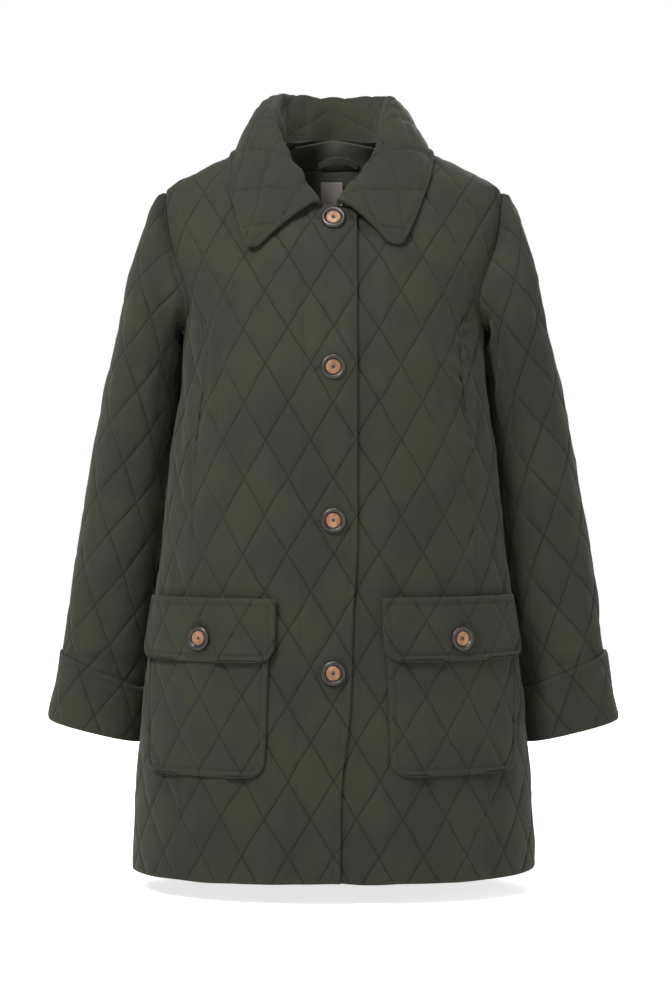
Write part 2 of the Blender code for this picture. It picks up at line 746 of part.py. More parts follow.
def label():
    """A blank label on the lining."""
    width, height = LABEL_SIZE
    points = np.empty((3, 3, 3))
    for r, down in enumerate((0.0, 0.5, 1.0)):
        low = LABEL_TOP + down * height
        depth = float(smooth(TORSO["drop"], TORSO["back"], low))
        for c, share in enumerate((-0.5, 0.0, 0.5)):
            inset = CLOTH + LINING_INSET + PLAIN_CLOTH + 2 * LAY_GAP + 0.0014 * abs(share) * 2
            points[r, c] = (-0.002 + share * width, depth - inset, -low)
    return cloth("label", points, LABEL, 0.0008)


# ---------------------------------------------------------------- assembly

for old in list(bpy.data.objects):
    bpy.data.objects.remove(old, do_unlink=True)

JACKET = bpy.data.collections.new("quilted_jacket")
bpy.context.scene.collection.children.link(JACKET)

FABRIC = material("quilted_cloth", (0.030, 0.038, 0.026), 0.85)
LINING = material("plain_lining", (0.026, 0.033, 0.024), 0.75)
LABEL = material("blank_label", (0.36, 0.31, 0.31), 0.70)
HORN = material("dark_horn", (0.030, 0.022, 0.018), 0.30)

top_front = front_right()
front_left()
side_panel("side_right", RIGHT)
side_panel("side_left", LEFT)
back_panel()
sleeve("sleeve_right", RIGHT)
sleeve("sleeve_left", LEFT)
cuff("cuff_right", RIGHT)
cuff("cuff_left", LEFT)
collar()
back_neck_facing()
back_lining()
hanger_loop()
label()
for patch_name, sizes in PATCH.items():
    patch(patch_name, **sizes)
for number in range(4):
    button(f"button_{number + 1}", top_front, 0.0, FRONT_BUTTON_FIRST + number * FRONT_BUTTON_STEP)
for flap_name in ("flap_right", "flap_left"):
    sizes = PATCH[flap_name]
    middle = (sizes["inner"][0] + sizes["outer"][0]) / 2
    turn = sizes["side"] * turn_at_length(middle, FLAP_BUTTON_DROP)
    button(flap_name.replace("flap", "flap_button"), bpy.data.objects[flap_name], turn, FLAP_BUTTON_DROP)
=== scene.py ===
"""Looks of the quilted jacket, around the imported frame.

Metres, +Z up, the front faces -Y and the wearer's right side is -X. A place on the body is
given by its turn (0 centre front, 1 side seam or shoulder ridge, 2 centre back) and its drop
below the high point of the shoulders. Every cloth piece is a closed shell: a fine outer face
with the padding, seams and creases worked into it, and a plain inner face.
"""
import math

import bpy
import numpy as np
from mathutils import Matrix, Vector
from mathutils.bvhtree import BVHTree


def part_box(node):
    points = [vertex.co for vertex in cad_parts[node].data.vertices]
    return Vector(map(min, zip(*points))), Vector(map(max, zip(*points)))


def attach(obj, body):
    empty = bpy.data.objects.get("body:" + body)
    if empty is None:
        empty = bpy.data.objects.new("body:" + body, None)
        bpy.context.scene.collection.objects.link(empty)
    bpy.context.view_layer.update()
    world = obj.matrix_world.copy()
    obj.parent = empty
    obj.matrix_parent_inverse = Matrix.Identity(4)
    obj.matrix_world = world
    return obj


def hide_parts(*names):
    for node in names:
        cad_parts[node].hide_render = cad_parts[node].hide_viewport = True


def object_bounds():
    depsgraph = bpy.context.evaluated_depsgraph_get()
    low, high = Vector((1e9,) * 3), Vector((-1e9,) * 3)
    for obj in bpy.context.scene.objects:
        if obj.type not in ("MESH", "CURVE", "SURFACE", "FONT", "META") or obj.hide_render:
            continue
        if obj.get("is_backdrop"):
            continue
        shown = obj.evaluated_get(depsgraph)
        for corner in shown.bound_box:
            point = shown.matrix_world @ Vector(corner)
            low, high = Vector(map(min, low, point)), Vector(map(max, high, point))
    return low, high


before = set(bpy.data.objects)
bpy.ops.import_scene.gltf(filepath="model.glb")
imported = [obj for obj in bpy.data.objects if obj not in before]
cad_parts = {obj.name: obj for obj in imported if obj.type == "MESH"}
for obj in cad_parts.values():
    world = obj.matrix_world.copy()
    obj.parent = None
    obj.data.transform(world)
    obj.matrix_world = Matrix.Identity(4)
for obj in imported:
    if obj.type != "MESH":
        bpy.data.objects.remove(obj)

CAD_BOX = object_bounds()

# ---------------------------------------------------------------- sizes shared with the CAD part

LENGTH = 0.777
CLOTH = 0.0030
COLLAR_CLOTH = 0.0034
PLAIN_CLOTH = 0.0012
SEAM_GAP = 0.0003
LAY_GAP = 0.0011
UNDERLAP_GAP = 0.0020
LEAF_GAP = 0.0006
STAND_START = 0.0018
POCKET_GAP = 0.0013
NECK_RISE = 0.010
NECK_DROP = 0.083
SHOULDER_DROP = 0.056
ARMPIT_DROP = 0.205
UNDERLAP_X = -0.026
COLLAR_SHIFT = -0.0045
COLLAR_END = 0.968
BUTTON_RADIUS = 0.0127
BUTTON_THICKNESS = 0.0046
RIGHT, LEFT = -1, 1

BODY_ROWS = 13
FRONT_COLUMNS = 7
BACK_NECK_COLUMNS = 3
TOP_REACH = 8
ARMHOLE_SHARES = (0.0, 0.05, 0.16, 0.28, 0.40, 0.52, 0.64, 0.76, 0.88, 1.0)
PRINCESS_STATION = 5

# ---------------------------------------------------------------- sizes of the finish

STEP = 0.0023             # between the points of a shell's outer face
INNER_EVERY = 4           # the inner face keeps one point in this many
EDGE_STEPS = (0.0, 0.0004, 0.0010, 0.0018, 0.0029)

QUILT_WIDTH = 0.0234      # half width and half height of a quilted diamond
QUILT_HEIGHT = 0.0385
QUILT_START = 0.135       # drop of a crossing on the centre front
PUFF = 0.0014             # how far the padding stands proud between the stitched lines
PUFF_REACH = 0.0060       # how quickly it rises beside them
GROOVE = 0.0009           # how deep the stitches pull in
GROOVE_WIDTH = 0.0011
TOPSTITCH_GROOVE = 0.0006
TOPSTITCH_IN = 0.0068     # topstitching inside an edge
STITCH_LENGTH = 0.0026
STITCH_PITCH = 0.0034
STITCH_WIDTH = 0.00055

# ---------------------------------------------------------------- short tables


def table(columns, rows):
    """Named columns of a table that is written a row at a time."""
    values = np.array(rows, dtype=float)
    return {name: values[:, i] for i, name in enumerate(columns.split())}


# Rings of the body. square is the exponent of the superellipse, 2 for an ellipse.
TORSO = table("drop half_width front back square", (
    (-0.010, 0.036, 0.012, 0.064, 2.00),
    (0.000, 0.050, 0.020, 0.066, 2.00),
    (0.020, 0.112, 0.045, 0.076, 2.00),
    (0.035, 0.143, 0.058, 0.085, 2.00),
    (0.049, 0.170, 0.068, 0.092, 2.00),
    (0.056, 0.178, 0.072, 0.096, 2.00),
    (0.083, 0.181, 0.086, 0.108, 2.05),
    (0.120, 0.178, 0.104, 0.118, 2.15),
    (0.160, 0.170, 0.117, 0.123, 2.25),
    (0.205, 0.1595, 0.127, 0.126, 2.30),
    (0.260, 0.1625, 0.134, 0.125, 2.30),
    (0.350, 0.175, 0.132, 0.119, 2.25),
    (0.430, 0.1825, 0.130, 0.121, 2.20),
    (0.500, 0.191, 0.129, 0.126, 2.15),
    (0.600, 0.203, 0.129, 0.131, 2.10),
    (0.700, 0.2115, 0.129, 0.134, 2.10),
    (LENGTH, 0.215, 0.129, 0.136, 2.10),
))

# Armhole: how far forward and back it runs at each drop.
ARMHOLE = table("drop forward backward", (
    (SHOULDER_DROP, 0.000, 0.000),
    (0.075, 0.016, 0.016),
    (0.095, 0.024, 0.026),
    (0.120, 0.034, 0.034),
    (0.146, 0.049, 0.038),
    (0.170, 0.057, 0.039),
    (0.188, 0.053, 0.037),
    (0.199, 0.036, 0.028),
    (ARMPIT_DROP, 0.000, 0.000),
))

NECKLINE = table("x drop", (
    (0.0500, 0.000),
    (0.0515, 0.020),
    (0.0480, 0.040),
    (0.0380, 0.060),
    (0.0220, 0.0765),
    (0.0000, NECK_DROP),
))

PRINCESS = table("drop x", (
    (0.190, 0.1415),
    (0.215, 0.1335),
    (0.245, 0.1315),
    (0.300, 0.139),
    (0.360, 0.146),
    (0.480, 0.149),
    (0.600, 0.153),
    (0.680, 0.159),
    (LENGTH, 0.163),
))

FRONT_EDGE = table("drop x", (
    (NECK_DROP, 0.0245),
    (0.430, 0.0245),
    (0.500, 0.0205),
    (0.590, 0.0180),
    (0.690, 0.0080),
    (LENGTH, 0.0070),
))

# Topstitching of the front facing, on the wearer's right of the buttons.
PLACKET = table("drop x", (
    (0.095, 0.0300),
    (0.150, 0.0313),
    (0.300, 0.0290),
    (0.420, 0.0300),
    (0.510, 0.0340),
    (0.580, 0.0352),
    (0.630, 0.0380),
    (LENGTH, 0.0392),
))

# Sections of a sleeve below the armhole.
SLEEVE = table("outer_x outer_drop inner_x inner_drop front back", (
    (0.1920, 0.071, 0.1605, 0.2085, 0.060, 0.046),
    (0.2045, 0.104, 0.1620, 0.2150, 0.064, 0.054),
    (0.2170, 0.146, 0.1635, 0.2240, 0.065, 0.063),
    (0.2285, 0.204, 0.1655, 0.2420, 0.060, 0.072),
    (0.2440, 0.262, 0.1690, 0.2820, 0.046, 0.084),
    (0.2580, 0.331, 0.1785, 0.3520, 0.035, 0.090),
    (0.2720, 0.410, 0.1860, 0.4320, 0.028, 0.088),
    (0.2825, 0.470, 0.1935, 0.4920, 0.022, 0.084),
    (0.2895, 0.530, 0.2015, 0.5520, 0.016, 0.079),
    (0.2955, 0.576, 0.2060, 0.5990, 0.014, 0.077),
    (0.3045, 0.6225, 0.2110, 0.6455, 0.014, 0.077),
))
SLEEVE_SQUARE = 2.4
CAP_SHARES = (0.75, 0.35)
CUFF_HEIGHT = 0.069
SLEEVE_LENGTH = 0.545

COLLAR = table("along roll_x roll_y roll_z edge_y right_x right_z left_x left_z", (
    (0.00, 0.0000, 0.0730, 0.0575, 0.098, 0.0000, -0.010, 0.0000, -0.010),
    (0.20, 0.0340, 0.0660, 0.0572, 0.089, 0.0520, -0.012, 0.0520, -0.012),
    (0.38, 0.0560, 0.0400, 0.0540, 0.058, 0.0850, -0.012, 0.0850, -0.012),
    (0.50, 0.0640, 0.0120, 0.0460, 0.015, 0.0995, -0.010, 0.0990, -0.010),
    (0.60, 0.0635, -0.0140, 0.0320, -0.028, 0.1075, -0.029, 0.1065, -0.028),
    (0.70, 0.0565, -0.0400, 0.0120, -0.058, 0.1070, -0.056, 0.1030, -0.052),
    (0.80, 0.0495, -0.0570, -0.0120, -0.078, 0.0995, -0.084, 0.0945, -0.079),
    (0.88, 0.0380, -0.0700, -0.0340, -0.094, 0.0925, -0.106, 0.0855, -0.103),
    (0.95, 0.0240, -0.0820, -0.0560, -0.105, 0.0865, -0.1235, 0.0755, -0.1225),
    (1.00, 0.0085, -0.0930, -0.0780, -0.107, 0.0780, -0.1325, 0.0660, -0.1290),
))

PATCH = {
    "pocket_right": dict(side=RIGHT, top=0.505, bottom=0.669, inner=(0.0640, 0.0700),
                         outer=(0.226, 0.213), corner=0.017, lift=POCKET_GAP),
    "pocket_left": dict(side=LEFT, top=0.505, bottom=0.668, inner=(0.0530, 0.0590),
                        outer=(0.221, 0.206), corner=0.017, lift=POCKET_GAP),
    "flap_right": dict(side=RIGHT, top=0.4865, bottom=0.552, inner=(0.0575, 0.0590),
                       outer=(0.2175, 0.2330), corner=0.018,
                       lift=POCKET_GAP + CLOTH + LAY_GAP),
    "flap_left": dict(side=LEFT, top=0.4855, bottom=0.551, inner=(0.0485, 0.0510),
                      outer=(0.2130, 0.2280), corner=0.018,
                      lift=POCKET_GAP + CLOTH + LAY_GAP),
}

FACING_DEPTH = 0.030
FACING_HALF_TURN = 0.70
FACING_INSET = 0.0046
LINING_END = 0.160
LINING_HALF_TURN = 0.56
LINING_INSET = 0.0050
LOOP_ENDS = (-0.017, 0.026)
LOOP_WIDTH = 0.006
LOOP_ARCH = 0.0062
LABEL_SIZE = (0.024, 0.024)
LABEL_TOP = 0.036

# Creases drawn on the body as seen from the front, as (x, drop) points. A positive height is
# a ridge and a negative one a trough.
CREASES = {
    "front_right": (
        (((-0.150, 0.190), (-0.139, 0.250), (-0.141, 0.330)), 0.0050, -0.0016),
        (((-0.128, 0.200), (-0.126, 0.260), (-0.131, 0.345)), 0.0070, 0.0013),
        (((-0.118, 0.225), (-0.119, 0.290), (-0.124, 0.350)), 0.0045, -0.0010),
        (((-0.100, 0.150), (-0.115, 0.190), (-0.125, 0.235)), 0.0080, 0.0009),
        (((-0.096, 0.420), (-0.060, 0.465), (-0.048, 0.530)), 0.0090, -0.0008),
        (((-0.045, 0.560), (-0.052, 0.650), (-0.047, 0.740)), 0.0080, 0.0009),
        (((-0.036, 0.110), (-0.040, 0.180), (-0.037, 0.270)), 0.0060, 0.0006),
    ),
    "front_left": (
        (((0.112, 0.165), (0.129, 0.215), (0.137, 0.275), (0.139, 0.330)), 0.0045, -0.0019),
        (((0.100, 0.185), (0.117, 0.235), (0.124, 0.300), (0.131, 0.350)), 0.0060, 0.0015),
        (((0.104, 0.215), (0.109, 0.262), (0.122, 0.318)), 0.0040, -0.0013),
        (((0.086, 0.235), (0.097, 0.275), (0.106, 0.330), (0.124, 0.372)), 0.0055, 0.0010),
        (((0.032, 0.240), (0.037, 0.330), (0.033, 0.410)), 0.0060, 0.0007),
        (((0.042, 0.560), (0.037, 0.640), (0.040, 0.735)), 0.0090, 0.0009),
        (((0.031, 0.500), (0.028, 0.610), (0.030, 0.720)), 0.0060, -0.0008),
    ),
    "side_right": (
        (((-0.168, 0.215), (-0.158, 0.300), (-0.160, 0.360)), 0.0055, -0.0013),
        (((-0.156, 0.225), (-0.151, 0.310), (-0.155, 0.390)), 0.0050, 0.0012),
    ),
    "side_left": (
        (((0.148, 0.215), (0.149, 0.290), (0.154, 0.350)), 0.0045, -0.0016),
        (((0.155, 0.220), (0.157, 0.300), (0.163, 0.390)), 0.0050, 0.0013),
    ),
    "back": (
        (((-0.105, 0.120), (-0.118, 0.200), (-0.112, 0.290)), 0.0090, 0.0012),
        (((0.102, 0.130), (0.116, 0.215), (0.110, 0.300)), 0.0100, 0.0011),
        (((-0.128, 0.160), (-0.133, 0.230), (-0.127, 0.310)), 0.0070, -0.0013),
        (((0.130, 0.150), (0.134, 0.225), (0.125, 0.300)), 0.0065, -0.0012),
        (((-0.050, 0.030), (0.000, 0.046), (0.055, 0.031)), 0.0080, 0.0008),
        (((-0.085, 0.450), (-0.060, 0.580), (-0.068, 0.730)), 0.0120, 0.0010),
        (((0.070, 0.470), (0.058, 0.600), (0.072, 0.735)), 0.0130, 0.0010),
    ),
}

# Creases of a sleeve, as (distance round from its front line towards the outside, distance
# down from the armhole).
SLEEVE_CREASES = {
    RIGHT: (
        (((-0.052, 0.020), (-0.048, 0.090), (-0.056, 0.170)), 0.0060, -0.0014),
        (((-0.030, 0.030), (-0.028, 0.110), (-0.040, 0.200)), 0.0080, 0.0012),
        (((-0.060, 0.180), (-0.020, 0.205), (0.030, 0.200)), 0.0080, -0.0009),
        (((0.020, 0.010), (0.022, 0.070), (0.014, 0.120)), 0.0075, 0.0009),
        (((-0.050, 0.430), (-0.010, 0.452), (0.045, 0.455)), 0.0060, 0.0009),
        (((-0.045, 0.455), (0.000, 0.466), (0.060, 0.466)), 0.0045, -0.0010),
    ),
    LEFT: (
        (((-0.050, 0.025), (-0.044, 0.080), (-0.052, 0.150)), 0.0060, -0.0015),
        (((-0.034, 0.020), (-0.024, 0.085), (-0.034, 0.165)), 0.0075, 0.0013),
        (((0.034, 0.020), (0.040, 0.090), (0.028, 0.160)), 0.0060, -0.0012),
        (((0.052, 0.015), (0.060, 0.100), (0.050, 0.190)), 0.0080, 0.0012),
        (((-0.055, 0.235), (-0.015, 0.262), (0.038, 0.256)), 0.0075, -0.0009),
        (((-0.040, 0.440), (0.005, 0.455), (0.062, 0.448)), 0.0060, 0.0010),
        (((-0.046, 0.462), (0.008, 0.470), (0.050, 0.468)), 0.0045, -0.0010),
    ),
}

# Creases of the collar, as (distance along the fold from the centre back, positive to the
# wearer's left, distance from the fold).
COLLAR_CREASES = (
    (((-0.205, 0.052), (-0.183, 0.040), (-0.160, 0.038), (-0.140, 0.052)), 0.0030, -0.0011),
    (((-0.196, 0.044), (-0.175, 0.032), (-0.152, 0.031)), 0.0040, 0.0009),
    (((-0.078, 0.000), (-0.092, 0.014), (-0.112, 0.020)), 0.0032, -0.0012),
    (((-0.070, 0.006), (-0.084, 0.022), (-0.100, 0.030)), 0.0045, 0.0010),
    (((0.150, 0.030), (0.170, 0.046), (0.192, 0.045)), 0.0035, -0.0010),
    (((0.120, 0.020), (0.140, 0.036), (0.166, 0.058)), 0.0045, 0.0008),
    (((0.080, 0.004), (0.096, 0.016), (0.110, 0.018)), 0.0035, -0.0009),
)

# ---------------------------------------------------------------- curves through tables


def travelled(points):
    """Distances along a line of points, from its first point to each."""
    gaps = np.linalg.norm(np.diff(points, axis=0), axis=1)
    return np.concatenate(([0.0], np.cumsum(gaps)))


def cubic(t, h, start, end, start_slope, end_slope):
    """A cubic at shares t of a stretch of length h, with its values and slopes at both ends."""
    return ((2 * t**3 - 3 * t**2 + 1) * start + (t**3 - 2 * t**2 + t) * h * start_slope
            + (3 * t**2 - 2 * t**3) * end + (t**3 - t**2) * h * end_slope)


def smooth(xs, ys, at):
    """A smooth curve through points with rising xs that never overshoots them."""
    at = np.clip(np.asarray(at, dtype=float), xs[0], xs[-1])
    step = np.diff(xs)
    slope = np.diff(ys) / step
    tangent = np.empty(len(xs))
    tangent[0] = slope[0]
    tangent[-1] = slope[-1]
    for i in range(1, len(xs) - 1):
        before, after = slope[i - 1], slope[i]
        same_way = before * after > 0
        tangent[i] = 2 * before * after / (before + after) if same_way else 0.0
    i = np.clip(np.searchsorted(xs, at, side="right") - 1, 0, len(xs) - 2)
    return cubic((at - xs[i]) / step[i], step[i], ys[i], ys[i + 1], tangent[i], tangent[i + 1])


def through(points, at):
    """A smooth curve through points of any kind, at shares 0 to 1 of its length."""
    points = np.asarray(points, dtype=float)
    along = travelled(points)
    along /= along[-1]
    before = np.vstack((2 * points[0] - points[1], points[:-1]))
    after = np.vstack((points[1:], 2 * points[-1] - points[-2]))
    span_before = np.concatenate(([along[1]], np.diff(along)))
    span_after = np.concatenate((np.diff(along), [along[-1] - along[-2]]))
    tangent = (after - before) / (span_before + span_after)[:, None]
    at = np.clip(np.asarray(at, dtype=float), 0.0, 1.0)
    i = np.clip(np.searchsorted(along, at, side="right") - 1, 0, len(along) - 2)
    h = (along[i + 1] - along[i])[..., None]
    t = (at - along[i])[..., None] / h
    return cubic(t, h, points[i], points[i + 1], tangent[i], tangent[i + 1])


def ease(t):
    t = np.clip(t, 0.0, 1.0)
    return t * t * (3 - 2 * t)


def noise(x, y, seed):
    """Smooth random bumps from -1 to 1, about one unit apart."""
    size = 64
    values = np.random.default_rng(seed).uniform(-1, 1, (size, size))
    column, row = np.floor(x).astype(int), np.floor(y).astype(int)
    across, down = x - column, y - row
    across, down = ease(across), ease(down)
    near = values[row % size, column % size] * (1 - across)
    near += values[row % size, (column + 1) % size] * across
    far = values[(row + 1) % size, column % size] * (1 - across)
    far += values[(row + 1) % size, (column + 1) % size] * across
    return near * (1 - down) + far * down


# ---------------------------------------------------------------- the body's surface

RING_STEPS = 48


def body_sizes(drop):
    """Half width, depth to the front, depth to the back and exponent of the rings at drops."""
    names = ("half_width", "front", "back", "square")
    return [smooth(TORSO["drop"], TORSO[name], drop) for name in names]


def on_ring(angle, drop):
    """x and y on the rings at drops, at angles from the centre front, 0, to the centre back, pi."""
    width, front, back, square = body_sizes(drop)
    x = width * np.abs(np.sin(angle)) ** (2 / square)
    reach = np.abs(np.cos(angle)) ** (2 / square)
    return x, np.where(angle <= math.pi / 2, -front * reach, back * reach)


def ring(drop):
    """Half of the ring at a drop: turns, x, y and lengths from the centre front."""
    x, y = on_ring(np.linspace(0.0, math.pi, 2 * RING_STEPS + 1), drop)
    gaps = np.hypot(np.diff(x), np.diff(y))
    length = np.concatenate(([0.0], np.cumsum(gaps)))
    side = length[RING_STEPS]
    turn = np.where(length <= side, length / side, 1 + (length - side) / (length[-1] - side))
    return turn, x, y, length


# Angles of the rings' ellipses on an even net of drops and turns, and the rings' lengths.
NET_DROPS = np.linspace(-NECK_RISE, LENGTH, 400)
NET_TURNS = np.linspace(0.0, 2.0, 401)
NET_ANGLES = np.empty((len(NET_DROPS), len(NET_TURNS)))
NET_LENGTHS = np.empty((len(NET_DROPS), 2))
for net_row, net_drop in enumerate(NET_DROPS):
    net_turns, _, _, net_length = ring(net_drop)
    NET_ANGLES[net_row] = np.interp(NET_TURNS, net_turns, np.linspace(0.0, math.pi, 2 * RING_STEPS + 1))
    NET_LENGTHS[net_row] = net_length[RING_STEPS], net_length[-1] - net_length[RING_STEPS]


def torso(turn, drop):
    """Points of the body's surface."""
    turn, drop = np.broadcast_arrays(np.asarray(turn, float), np.asarray(drop, float))
    turn = np.where(turn > 2, turn - 4, turn)
    row = np.clip((drop - NET_DROPS[0]) / (NET_DROPS[1] - NET_DROPS[0]), 0, len(NET_DROPS) - 1.001)
    column = np.clip(np.abs(turn) / NET_TURNS[1], 0, len(NET_TURNS) - 1.001)
    r, c = row.astype(int), column.astype(int)
    down, across = row - r, column - c
    angle = ((1 - down) * ((1 - across) * NET_ANGLES[r, c] + across * NET_ANGLES[r, c + 1])
             + down * ((1 - across) * NET_ANGLES[r + 1, c] + across * NET_ANGLES[r + 1, c + 1]))
    x, y = on_ring(angle, drop)
    return np.stack((np.copysign(x, turn), y, -drop), axis=-1)


def round_length(turn, drop):
    """Distance round the ring from the centre front, or from the centre back behind the sides."""
    front = np.interp(drop, NET_DROPS, NET_LENGTHS[:, 0])
    back = np.interp(drop, NET_DROPS, NET_LENGTHS[:, 1])
    return np.where(turn > 1, (turn - 2) * back, turn * front)


def down_length(drop):
    """Distance down the chest's surface, counted so that it equals the drop at the first crossing."""
    line = torso(np.full(len(NET_DROPS), 0.45), NET_DROPS)
    along = travelled(line)
    along += QUILT_START - np.interp(QUILT_START, NET_DROPS, along)
    return np.interp(drop, NET_DROPS, along)


def turn_at_x(x, drop):
    """Turn on the front of the ring at a distance from the centre front plane."""
    turns, xs, _, _ = ring(drop)
    quarter = slice(0, RING_STEPS + 1)
    return math.copysign(np.interp(abs(x), xs[quarter], turns[quarter]), x)


def turn_at_y(y, drop):
    turns, _, ys, _ = ring(drop)
    return float(np.interp(y, ys, turns))


# ---------------------------------------------------------------- seams, as (turn, drop)


def armhole(back):
    """Half of the armhole from the shoulder point to the armpit."""
    way = ARMHOLE["backward"] if back else -ARMHOLE["forward"]
    points = through(np.column_stack((way, ARMHOLE["drop"])), np.linspace(0, 1, 81))
    points[0] = (0.0, SHOULDER_DROP)
    points[-1] = (0.0, ARMPIT_DROP)
    last = len(points) - 1
    return [(1.0 if i in (0, last) else turn_at_y(y, d), d) for i, (y, d) in enumerate(points)]


def front_neckline():
    """From the high point of the shoulder to the centre front."""
    points = through(np.column_stack((NECKLINE["x"], NECKLINE["drop"])), np.linspace(0, 1, 41))
    points[0] = (NECKLINE["x"][0], 0.0)
    seam = [(turn_at_x(max(x, 0.0), d), d) for x, d in points]
    seam[0] = (1.0, 0.0)
    return seam


def back_neckline():
    """From the centre back to the high point of the shoulder."""
    return [(2.0 - s, -NECK_RISE * math.cos(s * math.pi / 2) ** 2) for s in np.linspace(0, 1, 21)]


def straight(start, end, steps=21):
    return [tuple(p) for p in np.linspace(start, end, steps)]


def lengths_along(seam):
    """Shares of a seam's real length at its own points."""
    seam = np.asarray(seam, dtype=float)
    along = travelled(torso(seam[:, 0], seam[:, 1]))
    return along / along[-1]


def by_length(seam, shares):
    """Points of a seam at shares of its real length."""
    seam = np.array(seam, dtype=float)
    along = lengths_along(seam)
    return np.column_stack((np.interp(shares, along, seam[:, 0]), np.interp(shares, along, seam[:, 1])))


FINER = 8                 # points between two of the CAD's stations on a seam


def finer(stations):
    """The CAD's stations with evenly spaced ones between them."""
    stations = np.asarray(stations, dtype=float)
    count = (len(stations) - 1) * FINER + 1
    return np.interp(np.linspace(0, len(stations) - 1, count), np.arange(len(stations)), stations)


ARMHOLE_STATIONS = finer(ARMHOLE_SHARES)
HALF_ARMHOLE = {back: by_length(armhole(back), ARMHOLE_STATIONS) for back in (False, True)}
PRINCESS_TOP = HALF_ARMHOLE[False][PRINCESS_STATION * FINER]


def princess_points():
    """From the hem to the armhole."""
    drops = np.concatenate(([PRINCESS_TOP[1]], PRINCESS["drop"]))
    xs = np.concatenate(([torso(*PRINCESS_TOP)[0]], PRINCESS["x"]))
    seam = [(turn_at_x(float(smooth(drops, xs, d)), d), d)
            for d in np.linspace(LENGTH, PRINCESS_TOP[1], 61)]
    seam[-1] = tuple(PRINCESS_TOP)
    return by_length(seam, np.linspace(0, 1, BODY_ROWS * FINER + 1))


def side_seam_points():
    return np.array(straight((1.0, LENGTH), (1.0, ARMPIT_DROP), BODY_ROWS * FINER + 1))


def panel_grid(bottom, top, inner, outer):
    """A grid of (turn, drop) between four seams, given as points that its rows and columns meet."""
    u = np.linspace(0, 1, len(bottom))[None, :, None]
    v = lengths_along(outer)[:, None, None]
    rows = (1 - u) * inner[:, None] + u * outer[:, None]
    return rows + (1 - v) * (bottom - rows[0])[None] + v**TOP_REACH * (top - rows[-1])[None]


def spaced(length):
    """Shares along a length, closer together near its two ends."""
    start = np.array(EDGE_STEPS) / length
    count = round((length - 2 * EDGE_STEPS[-1]) / STEP)
    count += (-(count + 2 * len(start) - 2)) % INNER_EVERY
    middle = np.linspace(start[-1], 1 - start[-1], count + 1)
    return np.concatenate((start[:-1], middle, 1 - start[-2::-1]))


def resampled(grid, row_shares, column_shares):
    """The grid read at shares of its rows and columns."""
    row = row_shares * (grid.shape[0] - 1)
    column = column_shares * (grid.shape[1] - 1)
    r = np.minimum(row.astype(int), grid.shape[0] - 2)
    c = np.minimum(column.astype(int), grid.shape[1] - 2)
    down = (row - r)[:, None, None]
    across = (column - c)[None, :, None]
    upper = grid[r][:, c] * (1 - across) + grid[r][:, c + 1] * across
    lower = grid[r + 1][:, c] * (1 - across) + grid[r + 1][:, c + 1] * across
    return upper * (1 - down) + lower * down


# ---------------------------------------------------------------- shells


def grid_normals(points, flip):
    """Outward directions of a grid."""
    along = np.gradient(points, axis=1)
    down = np.gradient(points, axis=0)
    normals = np.cross(along, down)
    normals /= np.maximum(np.linalg.norm(normals, axis=2, keepdims=True), 1e-12)
    return -normals if flip else normals


def from_edges(points):
    """Distances of a grid's points from its first and last row and its first and last column."""
    rows = np.linalg.norm(np.diff(points, axis=0), axis=2).cumsum(axis=0)
    rows = np.concatenate((np.zeros((1, points.shape[1])), rows))
    columns = np.linalg.norm(np.diff(points, axis=1), axis=2).cumsum(axis=1)
    columns = np.concatenate((np.zeros((points.shape[0], 1)), columns), axis=1)
    return rows, rows[-1:] - rows, columns, columns[:, -1:] - columns


def add_object(name, mesh, finish):
    piece = bpy.data.objects.new(name, mesh)
    mesh.materials.append(finish)
    bpy.context.scene.collection.objects.link(piece)
    return piece


SURFACE = {}


def quads_of(number):
    """The four corners of each square of a numbered grid."""
    corners = (number[:-1, :-1], number[:-1, 1:], number[1:, 1:], number[1:, :-1])
    return np.stack(corners, axis=-1).reshape(-1, 4)


def shell(name, points, height, quilt_at, cloth_at, wall, finish, flip=False):
    """A closed wall of cloth: its outer face is raised by height, its inner face is plain."""
    normals = grid_normals(points, flip)
    outer = points + normals * height[..., None]
    inner = (points - normals * wall)[::INNER_EVERY, ::INNER_EVERY]
    rows, columns = outer.shape[:2]
    inner_rows, inner_columns = inner.shape[:2]
    number = np.arange(rows * columns).reshape(rows, columns)
    inside = rows * columns + np.arange(inner_rows * inner_columns).reshape(inner_rows, inner_columns)
    outer_quads, inner_quads = quads_of(number), quads_of(inside)[:, ::-1]
    if flip:
        outer_quads, inner_quads = outer_quads[:, ::-1], inner_quads[:, ::-1]
    faces = outer_quads.tolist() + inner_quads.tolist()
    rims = ((number[0], inside[0], False), (number[-1], inside[-1], True),
            (number[:, 0], inside[:, 0], True), (number[:, -1], inside[:, -1], False))
    for edge, within, turned in rims:
        for k in range(len(within) - 1):
            face = [within[k], within[k + 1], *edge[k * INNER_EVERY:(k + 1) * INNER_EVERY + 1][::-1]]
            faces.append([int(i) for i in (face[::-1] if turned != flip else face)])
    mesh = bpy.data.meshes.new(name)
    places = np.concatenate((outer.reshape(-1, 3), inner.reshape(-1, 3)))
    mesh.from_pydata(places.tolist(), [], faces)
    corners = np.empty(len(mesh.loops), dtype=np.int32)
    mesh.loops.foreach_get("vertex_index", corners)
    for layer, at in (("quilt", quilt_at), ("cloth", cloth_at)):
        thinned = at[::INNER_EVERY, ::INNER_EVERY]
        every = np.concatenate((at.reshape(-1, 2), thinned.reshape(-1, 2)))
        mesh.uv_layers.new(name=layer).data.foreach_set("uv", every[corners].ravel())
    piece = add_object(name, mesh, finish)
    mesh.shade_smooth()
    mesh.set_sharp_from_angle(angle=math.radians(50))
    SURFACE[name] = outer, normals
    return piece


# ---------------------------------------------------------------- padding and creases


